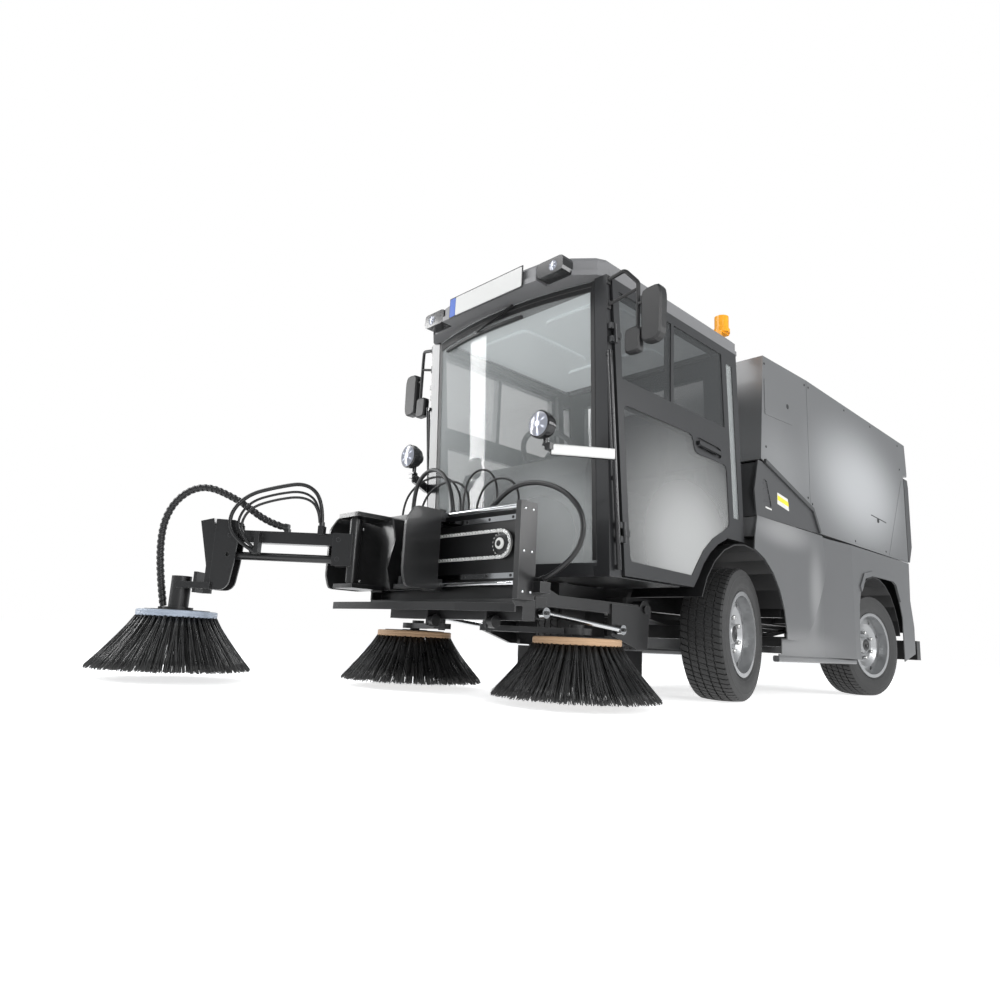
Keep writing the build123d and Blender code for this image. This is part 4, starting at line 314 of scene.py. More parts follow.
    def painted_light_mask(self, canvas: Canvas, painted_spot: "PaintedLightSpot") -> bpy.types.NodeSocket:
        """One painted light patch's mask times its strength.

        Args:
            canvas: the material.
            painted_spot: the patch.

        Returns:
            The mask's socket.
        """
        centre = tuple(np.array(painted_spot.centre) + ORIGIN)
        feeds = {"Vector": canvas.vector, "Centre": centre, "Reach": painted_spot.reach}
        node = canvas.tools.add("ShaderNodeGroup", feeds, node_tree=self.painted_light_falloff)
        return canvas.tools.maths("MULTIPLY", node.outputs["Mask"], painted_spot.strength)

    def with_painted_light(self, canvas: Canvas, colour: bpy.types.NodeSocket, painted_light_spots: tuple) -> bpy.types.NodeSocket:
        """Lay soft patches of painted light over a colour: lighter colour standing in for highlights and
        reflections.

        Args:
            canvas: the material.
            colour: the colour's socket.
            painted_light_spots: the patches.

        Returns:
            The new colour's socket.
        """
        for painted_spot in painted_light_spots:
            colour = canvas.tools.blend(self.painted_light_mask(canvas, painted_spot), colour, painted_spot.colour)
        return colour


def scaled_colour(colour: Colour, share: float) -> Colour:
    """A colour times a share, no channel above one."""
    return tuple(min(1.0, channel * share) for channel in colour)


@dataclass(frozen=True)
class PaintedLightSpot:
    """A soft patch of painted light round a point of the vehicle, with a reach along each axis: a lighter
    colour laid into the surface, a painted highlight on paint and a painted reflection on glass.
    """

    centre: Point
    reach: Point
    colour: Colour
    strength: float = 1.0


@dataclass(frozen=True)
class Finish:
    """One surface finish; colours are linear values."""

    name: str
    colour: Colour
    roughness: float
    metallic: float = 0.0
    coat: float = 0.0
    patch: float = 0.12
    patch_scale: float = 3.0
    grain: float = 0.1
    grain_scale: float = 500.0
    bump: float = 0.05
    stretch: float = 1.0
    wear: float = 0.0
    wear_colour: Colour = (0.45, 0.45, 0.45)
    # Glow makes the surface emit its own colour: painted light where the surface is no lamp.
    glow: float = 0.0
    # Soft patches of painted highlight laid over the colour.
    painted_light_spots: tuple[PaintedLightSpot, ...] = ()

    def material(self, groups: Groups) -> bpy.types.Material:
        """Build the material: colour and roughness vary with the patches, the grain lifts the surface,
        painted highlight patches lighten the colour, and a glow, where set, is painted light.

        Args:
            groups: the shared shader groups.

        Returns:
            The material.
        """
        canvas = groups.start(self.name, self.patch_scale, self.grain_scale, self.stretch)
        tools, swing = canvas.tools, 1.6 * self.patch
        lift = tools.maths("ADD", tools.maths("MULTIPLY", canvas.patches, 2.0 * self.patch), 0.5)
        low, high = scaled_colour(self.colour, 1.0 - swing), scaled_colour(self.colour, 1.0 + swing)
        colour = tools.blend(lift, low, high)
        shine = tools.maths("ADD", tools.maths("MULTIPLY", canvas.patches, self.patch), self.roughness)
        if self.wear > 0.0:
            edges = tools.add("ShaderNodeGroup", {"Vector": canvas.vector, "Radius": 0.002},
                              node_tree=groups.edges)
            amount = tools.maths("MULTIPLY", edges.outputs["Mask"], self.wear)
            colour = tools.blend(amount, colour, self.wear_colour)
        # Painted highlights: lighter soft patches over the colour.
        colour = groups.with_painted_light(canvas, colour, self.painted_light_spots)
        # Painted light: the surface glows with its own colour though it is no lamp.
        if self.glow > 0.0:
            canvas.fill({"Emission Color": colour, "Emission Strength": self.glow})
        relief = tools.add("ShaderNodeBump", {"Strength": self.bump, "Distance": 0.001,
                                              "Height": canvas.grain})
        return canvas.fill({
            "Base Color": colour, "Roughness": shine, "Metallic": self.metallic, "Coat Weight": self.coat,
            "Coat Roughness": 0.08, "Normal": relief.outputs["Normal"],
        })


@dataclass(frozen=True)
class PaneFinish:
    """Tinted window glass: mostly see-through, with a painted sheen at grazing angles and soft patches of
    painted reflection.
    """

    name: str
    colour: Colour
    alpha: float
    roughness: float = 0.03
    # Patches of painted reflection, and how far they turn the glass opaque.
    painted_light_spots: tuple[PaintedLightSpot, ...] = ()
    cover: float = 0.0

    def material(self, groups: Groups) -> bpy.types.Material:
        """Build the material: a tint whose cover grows at grazing angles, a painted sheen, and under the soft
        patches of painted reflection.

        Args:
            groups: the shared shader groups.

        Returns:
            The material.
        """
        canvas = groups.start(self.name, 1.2)
        tools = canvas.tools
        tint = tools.maths("ADD", canvas.patches, 0.5)
        colour = tools.blend(tint, scaled_colour(self.colour, 0.85), self.colour)
        weight = tools.add("ShaderNodeLayerWeight", {"Blend": 0.2})
        cover = tools.maths("MULTIPLY", weight.outputs["Facing"], 1.0 - self.alpha)
        cover = tools.maths("ADD", cover, self.alpha)
        # Painted reflection: the glass turns opaque and lighter under each patch.
        for painted_spot in self.painted_light_spots:
            mask = tools.maths("MULTIPLY", groups.painted_light_mask(canvas, painted_spot), self.cover)
            cover = tools.maths("MAXIMUM", cover, mask)
        return canvas.fill({
            "Base Color": groups.with_painted_light(canvas, colour, self.painted_light_spots), "Alpha": cover,
            "Roughness": self.roughness,
            "Specular IOR Level": 0.8,
        })


@dataclass(frozen=True)
class GlowFinish:
    """A lit lamp or an amber lens."""

    name: str
    colour: Colour
    glow: Colour
    strength: float
    roughness: float = 0.15
    mapped: bool = False

    def material(self, groups: Groups) -> bpy.types.Material:
        """Build the material: a gloss lens whose glow is even, or follows the values stored at its points.

        Args:
            groups: the shared shader groups.

        Returns:
            The material.
        """
        canvas = groups.start(self.name, 30.0)
        tools, power = canvas.tools, self.strength
        if self.mapped:
            layer = tools.add("ShaderNodeAttribute", attribute_name="glow")
            power = tools.maths("MULTIPLY", layer.outputs["Fac"], self.strength)
        tint = tools.maths("ADD", canvas.patches, 0.5)
        return canvas.fill({
            "Base Color": tools.blend(tint, scaled_colour(self.colour, 0.8), self.colour),
            "Roughness": self.roughness, "Emission Color": self.glow, "Emission Strength": power,
        })


# Painted highlights on the hopper side: lighter patches in the paint that stand in for studio reflections.
HOPPER_PAINTED_HIGHLIGHTS = (
    PaintedLightSpot((0.63, 1.75, 1.42), (2.0, 1.25, 0.62), (0.62, 0.63, 0.64), 0.85),
    PaintedLightSpot((0.63, 0.45, 1.25), (2.0, 0.60, 0.50), (0.36, 0.365, 0.37), 0.5),
)
# Painted highlights on the lower body, along its top, its arch and its crease.
BODY_PAINTED_HIGHLIGHTS = (
    PaintedLightSpot((0.65, 0.45, 0.93), (0.5, 0.55, 0.14), (0.42, 0.42, 0.42), 0.55),
    PaintedLightSpot((0.65, 0.88, 0.62), (0.5, 0.16, 0.40), (0.40, 0.40, 0.40), 0.55),
    PaintedLightSpot((0.65, 0.70, 0.30), (0.5, 0.80, 0.14), (0.34, 0.34, 0.34), 0.45),
)
# Painted reflection on the door's lower pane: a pale, nearly opaque patch, lighter towards its lower middle.
DOOR_PAINTED_REFLECTION = (
    PaintedLightSpot((0.60, -0.50, 0.74), (0.8, 0.95, 0.80), (0.52, 0.525, 0.52), 0.85),
)
# Painted reflection on the windscreen: a pale, partly opaque patch low on the glass.
SCREEN_PAINTED_REFLECTION = (
    PaintedLightSpot((0.25, -1.15, 0.72), (0.60, 0.6, 0.55), (0.62, 0.64, 0.64), 0.85),
)
FINISHES = (
    # The hopper's satin silver carries the painted highlights above.
    Finish("satin_silver_paint_painted_highlights", (0.17, 0.173, 0.176), 0.36, metallic=0.45, coat=0.2, patch=0.05,
           grain_scale=900.0, bump=0.03, painted_light_spots=HOPPER_PAINTED_HIGHLIGHTS),
    # The lower body's graphite paint carries the painted highlights above.
    Finish("graphite_body_paint_painted_highlights", (0.135, 0.137, 0.14), 0.36, metallic=0.4, coat=0.35, patch=0.08,
           grain_scale=900.0, bump=0.03, painted_light_spots=BODY_PAINTED_HIGHLIGHTS),
    Finish("anthracite_cab_paint", (0.022, 0.0225, 0.024), 0.32, metallic=0.2, coat=0.35, patch=0.08,
           bump=0.03),
    Finish("roof_grey_plastic", (0.19, 0.19, 0.195), 0.42, metallic=0.2, coat=0.1, patch=0.06,
           grain_scale=700.0, bump=0.08),
    Finish("frame_black_paint", (0.009, 0.009, 0.0095), 0.34, coat=0.15, patch=0.2, bump=0.12, wear=0.3),
    Finish("engine_cast_grey", (0.04, 0.04, 0.04), 0.6, patch=0.2, grain_scale=200.0, bump=0.3),
    Finish("cabin_dark_plastic", (0.03, 0.03, 0.032), 0.5, patch=0.1, grain_scale=600.0, bump=0.2),
    # Painted light: the lining glows at 0.30 though it is no lamp, brightening the cab seen through the
    # glass.
    Finish("cabin_lining_painted_glow", (0.62, 0.66, 0.67), 0.7, patch=0.06, grain_scale=500.0, bump=0.1, glow=0.30),
    Finish("seat_cloth", (0.04, 0.04, 0.045), 0.85, patch=0.12, grain_scale=900.0, bump=0.4),
    Finish("tyre_rubber", (0.022, 0.022, 0.022), 0.58, patch=0.2, patch_scale=8.0, grain_scale=300.0,
           bump=0.15, wear=0.5, wear_colour=(0.12, 0.12, 0.12)),
    Finish("rim_silver_paint", (0.34, 0.345, 0.35), 0.32, metallic=0.6, coat=0.2, patch=0.12,
           patch_scale=9.0, bump=0.05, wear=0.3),
    Finish("bright_chrome", (0.62, 0.63, 0.64), 0.14, metallic=1.0, patch=0.10, bump=0.02),
    Finish("worn_steel", (0.55, 0.55, 0.54), 0.26, metallic=1.0, patch=0.15, grain_scale=350.0, bump=0.08,
           stretch=0.1),
    Finish("black_bristle", (0.020, 0.020, 0.020), 0.32, patch=0.45, patch_scale=24.0, grain_scale=500.0,
           bump=0.1),
    Finish("tan_wood_disc", (0.45, 0.29, 0.17), 0.6, patch=0.25, patch_scale=10.0, grain_scale=120.0,
           bump=0.3, stretch=7.0),
    Finish("pale_blue_disc", (0.34, 0.39, 0.47), 0.45, patch=0.30, patch_scale=22.0, grain_scale=240.0,
           bump=0.2, wear=0.5),
    Finish("trim_black_plastic", (0.010, 0.010, 0.0105), 0.42, patch=0.12, grain_scale=700.0, bump=0.12),
    Finish("hose_rubber", (0.008, 0.008, 0.0085), 0.36, patch=0.2, patch_scale=20.0, grain_scale=500.0,
           bump=0.15),
    Finish("hose_wrap", (0.010, 0.010, 0.0105), 0.42, patch=0.2, patch_scale=20.0, grain_scale=500.0,
           bump=0.15),
    Finish("tailgate_dark_grey", (0.060, 0.061, 0.063), 0.42, metallic=0.3, coat=0.2, patch=0.08, bump=0.05),
    Finish("lamp_housing_black", (0.020, 0.020, 0.021), 0.22, metallic=0.3, coat=0.3, patch=0.15,
           patch_scale=18.0, bump=0.03),
    Finish("chain_steel", (0.66, 0.66, 0.64), 0.34, metallic=0.35, patch=0.2, patch_scale=30.0,
           grain_scale=350.0, bump=0.05),
    Finish("label_white", (0.62, 0.62, 0.60), 0.5, patch=0.05),
    Finish("label_yellow", (0.75, 0.62, 0.03), 0.5, patch=0.08),
    Finish("plate_white", (0.55, 0.55, 0.54), 0.35, coat=0.2, patch=0.05, patch_scale=6.0, bump=0.02),
    Finish("plate_blue", (0.03, 0.10, 0.42), 0.35, coat=0.2, patch=0.05, bump=0.02),
    # The windscreen's pale tint, shown at grazing angles and under its patch, is painted reflection.
    PaneFinish("cab_pane_painted_reflection", (0.55, 0.58, 0.58), 0.07, painted_light_spots=SCREEN_PAINTED_REFLECTION, cover=0.55),
    # The door pane's patch is painted reflection.
    PaneFinish("door_pane_painted_reflection", (0.05, 0.053, 0.054), 0.34, painted_light_spots=DOOR_PAINTED_REFLECTION, cover=0.93),
    GlowFinish("lamp_glass", (0.25, 0.26, 0.30), (0.82, 0.86, 1.0), 3.0, mapped=True),
    GlowFinish("amber_lens", (0.85, 0.36, 0.02), (1.0, 0.42, 0.02), 0.12),
)

NODE_FINISH = {
    "hopper_body": "satin_silver_paint_painted_highlights", "hopper_tailgate": "tailgate_dark_grey",
    "body_left": "graphite_body_paint_painted_highlights", "body_right": "graphite_body_paint_painted_highlights", "cab_roof": "roof_grey_plastic",
    "cab_shell": "anthracite_cab_paint", "door_left": "anthracite_cab_paint",
    "door_right": "anthracite_cab_paint",
    "cab_glass": "cab_pane_painted_reflection", "door_left_glass": "door_pane_painted_reflection", "door_right_glass": "door_pane_painted_reflection",
    "cab_interior": "cabin_dark_plastic", "seat_cushions": "seat_cloth", "engine_block": "engine_cast_grey",
    "tip_rods": "bright_chrome", "slide_rails": "bright_chrome", "chain_drive": "chain_steel",
    "tie_rods": "bright_chrome",
    "vent_panels": "tailgate_dark_grey", "suction_duct": "hose_rubber",
    "wheel_liners": "trim_black_plastic", "mirrors": "trim_black_plastic",
    "headlamps": "lamp_housing_black", "beacons": "amber_lens", "number_plate": "trim_black_plastic",
}


class Wardrobe:
    """All finishes, built once, and the dressing of the frame's own nodes."""

    def __init__(self) -> None:
        """Build every finish."""
        groups = Groups()
        self.materials = {finish.name: finish.material(groups) for finish in FINISHES}

    def dress(self, piece: bpy.types.Object, finish: str) -> bpy.types.Object:
        """Give a piece one finish.

        Args:
            piece: the object to dress.
            finish: the finish's name.

        Returns:
            The same object.
        """
        piece.data.materials.clear()
        piece.data.materials.append(self.materials[finish])
        return piece

    def dress_frame(self) -> None:
        """Dress every node of the frame: rims, tyres and the plain black parts by rule, the rest by name."""
        for node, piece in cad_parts.items():
            if node.startswith("rim_"):
                finish = "rim_silver_paint"
            elif node.startswith("tyre_"):
                finish = "tyre_rubber"
            else:
                finish = NODE_FINISH.get(node, "frame_black_paint")
            for slot in piece.material_slots:
                slot.material = self.materials[finish]
        LOG.info("dressed %d frame nodes", len(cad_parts))


def placed(points: object) -> np.ndarray:
    """Points of the vehicle's own frame brought to the row's frame.

    Args:
        points: (..., 3) points counted from the vehicle's origin.

    Returns:
        The same points in the row's frame.
    """
    return np.asarray(points, dtype=float) + ORIGIN


def smooth_step(value: np.ndarray, low: float, high: float) -> np.ndarray:
    """Rise from 0 at low to 1 at high along 3t^2 - 2t^3, t being the share of the way."""
    t = np.clip((value - low) / (high - low), 0.0, 1.0)
    return t * t * (3.0 - 2.0 * t)


@dataclass(frozen=True)
class Spindle:
    """An axis in space about which turned forms are made."""

    origin: Point
    axis: Point
    start: Point

    def place(self, radius: np.ndarray, height: np.ndarray, angle: np.ndarray) -> np.ndarray:
        """Points at a radius, a height along the axis and an angle from the start direction.

        Args:
            radius: distances from the axis.
            height: distances along the axis.
            angle: radians about the axis.

        Returns:
            (..., 3) points in the row's frame.
        """
        axis, first = unit(np.array(self.axis)), unit(np.array(self.start))
        second = np.cross(axis, first)
        radius, height, angle = np.broadcast_arrays(radius, height, angle)
        point = (radius * np.cos(angle))[..., None] * first + (radius * np.sin(angle))[..., None] * second
        return placed(point + height[..., None] * axis + np.array(self.origin))

    def turn(self, name: str, profile: np.ndarray, steps: int, closed: bool = True,
             smooth: bool = True) -> bpy.types.Object:
        """Turn a profile of (radius, height) rows about the axis.

        Args:
            name: the piece's name.
            profile: (n, 2) array.
            steps: sections round the axis.
            closed: whether the profile's end joins its start.
            smooth: whether the faces shade smoothly.

        Returns:
            The piece.
        """
        angle = np.arange(steps) * 2.0 * np.pi / steps
        points = self.place(profile[None, :, 0], profile[None, :, 1], angle[:, None])
        faces = MeshMaker.grid_faces(steps, len(profile), close_rows=True, close_columns=closed)
        return MeshMaker.build(name, points, faces, smooth)


@dataclass(frozen=True)
class Tyre:
    """Road tyre: ribs cut by zigzag grooves, slotted shoulders and ringed walls."""

    corner: str
    side: int
    axle_y: float
    turn: float
    radius: float = 0.341
    half: float = 0.1125
    bead: float = 0.2035
    wall: float = 0.266
    tread_half: float = 0.098
    pitches: int = 66
    groove_depth: float = 0.009
    slot_depth: float = 0.007
    sipe_depth: float = 0.004
    tread_edge: float = 0.329
    wall_steps: int = 22
    king_pin: float = 0.45
    stub: float = 0.06
    zigzag: float = 0.0022
    skew: float = 0.9

    def spindle(self) -> Spindle:
        """The wheel's axis: outward along the stub axle, turned by the steering angle at rest.

        Returns:
            The spindle.
        """
        turn = math.radians(self.turn)
        axis = (self.side * math.cos(turn), self.side * math.sin(turn), 0.0)
        pin = np.array([self.side * self.king_pin, self.axle_y, self.radius])
        middle = pin + self.stub * np.array(axis)
        return Spindle(tuple(middle), axis, UPWARD)

    def columns(self) -> tuple[np.ndarray, np.ndarray, np.ndarray]:
        """Section of the tyre: heights, radii and kinds (0 wall, 1 rib, 2 groove, 3 shoulder) of its columns.

        Returns:
            Heights along the axle, radii without the pattern, and kinds.
        """
        edge, width = 0.0005, 0.0036
        heights, kinds = [], []
        for middle in (-0.060, -0.021, 0.021, 0.060):
            heights += [middle - width - edge, middle - width, middle + width, middle + width + edge]
            kinds += [1, 2, 2, 1]
        heights += [-0.040, 0.0, 0.040, -0.075, -0.088, -0.096, 0.075, 0.088, 0.096, -0.067, 0.067]
        kinds += [1, 1, 1, 3, 3, 3, 3, 3, 3, 3, 3]
        order = np.argsort(heights)
        tread, kind = np.array(heights)[order], np.array(kinds)[order]
        tread_radius = self.radius - 0.006 * (tread / self.tread_half) ** 2
        fall = np.linspace(self.tread_edge, self.bead, self.wall_steps)
        bulge = np.where(
            fall > self.wall,
            self.half - 0.0075 * ((fall - self.wall) / (self.tread_edge - self.wall)) ** 2,
            self.half - 0.024 * ((self.wall - fall) / (self.wall - self.bead)) ** 2,
        )
        ridge = 0.0012 * (np.abs(fall - 0.300) < 0.0035) + 0.0016 * (np.abs(fall - 0.232) < 0.004)
        wall = bulge + ridge
        z = np.concatenate([-wall[::-1], tread, wall])
        r = np.concatenate([fall[::-1], tread_radius, fall])
        plain = np.zeros(self.wall_steps, int)
        k = np.concatenate([plain, kind, plain])
        k[self.wall_steps - 1], k[-self.wall_steps] = 3, 3
        return z, r, k

    def build(self) -> bpy.types.Object:
        """Make the tyre: the pattern lowers the radius where a groove, a slot or a sipe runs.

        Returns:
            The piece.
        """
        z, r, kind = self.columns()
        share = np.array([0.0, 0.30, 0.32, 0.50, 0.52, 0.74, 0.77, 0.80, 0.90])
        slot = np.array([0, 0, 1, 1, 0, 0, 0, 0, 0], bool)
        sipe = np.array([0, 0, 0, 0, 0, 0, 1, 0, 0], bool)
        pitch = 2.0 * np.pi / self.pitches
        phi = (np.arange(self.pitches)[:, None] + share[None, :]).ravel() * pitch
        slot, sipe = np.tile(slot, self.pitches), np.tile(sipe, self.pitches)
        wave = np.abs((phi / pitch) % 1.0 - 0.5) * 4.0 - 1.0
        depth = np.where(kind[None, :] == 2, self.groove_depth, 0.0)
        depth = depth + np.where((kind[None, :] == 3) & slot[:, None], self.slot_depth, 0.0)
        depth = depth + np.where((kind[None, :] == 1) & (sipe | slot)[:, None], self.sipe_depth, 0.0)
        inner = smooth_step(np.abs(z), self.tread_half, 0.05)
        shift = wave[:, None] * self.zigzag * inner[None, :]
        slant = self.skew * pitch * np.clip(z / self.tread_half, -1.0, 1.0) * (kind > 0)
        angle = phi[:, None] + slant[None, :]
        points = self.spindle().place(r[None, :] - depth, z[None, :] + shift, angle)
        faces = MeshMaker.grid_faces(len(phi), len(z), close_rows=True, close_columns=True)
        return MeshMaker.build("tread_" + self.corner, points, faces, smooth=False)


@dataclass(frozen=True)
class BrushCrown:
    """Round sweeping brush: tufts of flat bristles set in rings under a disc with a clamping plate."""

    node: str
    body: str
    centre: tuple[float, float]
    bottom: float
    height: float
    disc_radius: float
    disc_height: float
    disc_finish: str
    seed: int
    reach: float = 0.35
    tufts: int = 46
    strands: int = 11
    steps: int = 5
    bore: float = 0.026

    def bristles(self) -> bpy.types.Object:
        """Make every bristle as a thin flat bar, bowed outward from its root ring to an uneven, splayed tip.

        Returns:
            The piece.
        """
        random = np.random.default_rng(self.seed)
        rings = np.array([0.60, 0.73, 0.86, 0.965])
        count = self.tufts * self.strands
        roots, tips, angles, ends = [], [], [], []
        for number, ring in enumerate(rings):
            tuft = (np.arange(self.tufts) + 0.5 * (number % 2)) * 2.0 * np.pi / self.tufts
            inside = random.normal(0.0, 1.0, (self.tufts, self.strands))
            share = 0.70 + 0.30 * (ring - rings[0]) / (rings[-1] - rings[0])
            roots.append(self.disc_radius * ring + 0.003 * random.normal(0.0, 1.0, count))
            tips.append(np.minimum(self.reach * share + 0.010 * random.normal(0.0, 1.0, count),
                                   self.reach - 0.002))
            angles.append((tuft[:, None] + 0.011 * inside).ravel())
            ends.append((tuft[:, None] + 0.045 * inside + 0.015 * random.normal(0.0, 1.0,
                                                                                inside.shape)).ravel())
        root, tip = np.concatenate(roots), np.concatenate(tips)
        start, end = np.concatenate(angles), np.concatenate(ends)
        lift = np.abs(random.normal(0.0, 0.006, root.size))
        t = np.linspace(0.0, 1.0, self.steps + 1)[None, :]
        radius = root[:, None] + (tip - root)[:, None] * t ** 1.12
        angle = start[:, None] + (end - start)[:, None] * t
        top = self.bottom + self.height + 0.004
        height = top + (self.bottom + 0.001 + lift[:, None] - top) * t
        line = np.stack([radius * np.cos(angle), radius * np.sin(angle), height], axis=-1)
        twist = random.normal(0.0, 0.5, root.size)[:, None] + angle
        wide = np.stack([-np.sin(twist), np.cos(twist), np.zeros_like(twist)], axis=-1)
        thick = np.stack([np.cos(twist), np.sin(twist), np.full_like(twist, 0.5)], axis=-1)
        half = random.uniform(0.0012, 0.0020, root.size)[:, None, None]
        corners = np.stack([
            line - wide * half - thick * 0.0006, line + wide * half - thick * 0.0006,
            line + wide * half + thick * 0.0006, line - wide * half + thick * 0.0006,
        ], axis=2)
        corners += np.array([*self.centre, 0.0])
        pattern = MeshMaker.grid_faces(self.steps + 1, 4, close_columns=True)
        caps = np.array([[3, 2, 1, 0], np.arange(4) + self.steps * 4])
        pattern = np.concatenate([pattern, caps])
        offsets = np.arange(root.size)[:, None, None] * (self.steps + 1) * 4
        faces = (pattern[None] + offsets).reshape(-1, 4)
        return MeshMaker.build(self.node + "_bristles", placed(corners.reshape(-1, 3)), faces)

    def disc(self) -> bpy.types.Object:
        """Make the disc: a ring with rounded rims and a shallow groove round its edge.

        Returns:
            The piece.
        """
        low, r = self.bottom + self.height, self.disc_radius
        high = self.bottom + self.height + self.disc_height - 0.005
        middle = (low + high) / 2
        profile = np.array([
            (self.bore, low), (r - 0.006, low), (r - 0.002, low + 0.0015), (r, low + 0.005),
            (r, middle - 0.001),
            (r - 0.001, middle), (r, middle + 0.001), (r, high - 0.005), (r - 0.002, high - 0.0015),
            (r - 0.006, high), (self.bore, high),
        ])
        return Spindle((*self.centre, 0.0), UPWARD, LEFTWARD).turn(self.node + "_disc", profile, 96)

    def plate(self) -> bpy.types.Object:
        """Make the clamping plate on the disc, with a hub ring.

        Returns:
            The piece.
        """
        high, r = self.bottom + self.height + self.disc_height, self.disc_radius * 0.8
        profile = np.array([
            (self.bore, high - 0.0052), (r, high - 0.0052), (r + 0.001, high - 0.003), (r, high - 0.0012),
            (r * 0.45, high - 0.0008), (r * 0.42, high + 0.002), (self.bore, high + 0.002),
        ])
        return Spindle((*self.centre, 0.0), UPWARD, LEFTWARD).turn(self.node + "_plate", profile, 72)

    def build(self, wardrobe: Wardrobe) -> None:
        """Make the brush and let it stand for the frame's node.

        Args:
            wardrobe: the finishes.
        """
        pieces = (
            (self.bristles(), "black_bristle"), (self.disc(), self.disc_finish),
            (self.plate(), "frame_black_paint"),
        )
        for piece, finish in pieces:
            wardrobe.dress(piece, finish)
            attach(piece, self.body)
            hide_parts(self.node)


@dataclass(frozen=True)
class Hose:
    """A hydraulic hose fixed at both ends, as a smooth curve through its route's control points."""

    name: str
    body: str
    diameter: float
    route: tuple[Point, ...]
    node: str = ""
    finish: str = "hose_rubber"
    guard_lead: float = 0.026
    guard_margin: float = 0.012
    guard_steps: int = 900

    def curve(self) -> bpy.types.Object:
        """Make the hose: an open NURBS spline of order three that starts and ends at its end points.

        Returns:
            The curve object.
        """
        data = bpy.data.curves.new(self.name, "CURVE")
        data.dimensions = "3D"
        data.resolution_u = 8
        data.bevel_depth = self.diameter / 2
        data.bevel_resolution = 3
        data.use_fill_caps = True
        spline = data.splines.new("NURBS")
        spline.points.add(len(self.route) - 1)
        row = placed(np.array(self.route))
        spline.points.foreach_set("co", np.concatenate([row, np.ones((len(row), 1))], axis=1).ravel())
        spline.order_u = 3
        spline.use_endpoint_u = True
        piece = bpy.data.objects.new(self.name, data)
        bpy.context.scene.collection.objects.link(piece)
        return piece

    @staticmethod
    def line(piece: bpy.types.Object) -> np.ndarray:
        """Points along a curve object's own line, read with its thickness put aside.

        Args:
            piece: the curve object.

        Returns:
            (n, 3) points.
        """
        depth, piece.data.bevel_depth = piece.data.bevel_depth, 0.0
        bpy.context.view_layer.update()
        graph = bpy.context.evaluated_depsgraph_get()
        mesh = bpy.data.meshes.new_from_object(piece.evaluated_get(graph))
        points = np.empty(len(mesh.vertices) * 3)
        mesh.vertices.foreach_get("co", points)
        bpy.data.meshes.remove(mesh)
        piece.data.bevel_depth = depth
        return points.reshape(-1, 3)

    def build(self, wardrobe: Wardrobe) -> None:
        """Args:
            wardrobe: the finishes.
        """
        piece = self.curve()
        line = self.line(piece)
        length = float(np.linalg.norm(np.diff(line, axis=0), axis=1).sum())
        wardrobe.dress(piece, self.finish)
        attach(piece, self.body)
        if self.node:
            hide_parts(self.node)
        wraps = ()
        if self.finish == "hose_wrap":
            wraps = (self.wrap(line, wardrobe),)
        exit_point = placed(np.array(self.route[0]))
        LOG.info("hose %s: %.0f mm long, %.0f mm thick", self.name, length * 1000.0, self.diameter * 1000.0)

    def wrap(self, line: np.ndarray, wardrobe: Wardrobe) -> bpy.types.Object:
        """Make the spiral guard round the hose: a flat band whose angle grows evenly with the length.

        Args:
            line: points along the hose.
            wardrobe: the finishes.

        Returns:
            The band.
        """
        step = np.linalg.norm(np.diff(line, axis=0), axis=1)
        along = np.concatenate([[0.0], np.cumsum(step)])
        fine = np.linspace(self.guard_margin, along[-1] - self.guard_margin, self.guard_steps)
        centre = np.stack([np.interp(fine, along, line[:, axis]) for axis in range(3)], axis=1)
        tangent = np.gradient(centre, axis=0)
        tangent /= np.linalg.norm(tangent, axis=1)[:, None]
        across = np.array([np.cross(tangent[len(tangent) // 2], UPWARD)])
        side = across - (tangent * across).sum(axis=1)[:, None] * tangent
        side /= np.linalg.norm(side, axis=1)[:, None]
        other = np.cross(tangent, side)
        angle = fine / self.guard_lead * 2.0 * np.pi
        outward = side * np.cos(angle)[:, None] + other * np.sin(angle)[:, None]
        inner, outer = self.diameter / 2 - 0.0005, self.diameter / 2 + 0.0022
        band = []
        for radius, offset in ((inner, -0.0075), (outer, -0.006), (outer, 0.006), (inner, 0.0075)):
            band.append(centre + outward * radius + tangent * offset)
        points = np.stack(band, axis=1)
        faces = MeshMaker.grid_faces(len(fine), 4, close_columns=True)
        piece = MeshMaker.build(self.name + "_spiral_guard", points, faces)
        wardrobe.dress(piece, "hose_rubber")
        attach(piece, self.body)
        return piece


def boom_points(route: list[tuple[float, float]], offset: float) -> tuple[Point, ...]:
    """Points given as (along the boom, height) brought to the vehicle's frame.

    Args:
        route: distances along the boom from its pivot, and heights.
        offset: distance across the boom.

    Returns:
        (x, y, z) points.
    """
    pivot, brush = np.array([-0.450, -1.660, 0.0]), np.array([-1.036, -2.208, 0.0])
    along = unit(brush - pivot)
    across = np.cross(UPWARD, along)
    points = [pivot + along * s + across * offset + np.array([0.0, 0.0, z]) for s, z in route]
    return tuple(tuple(float(value) for value in point) for point in points)


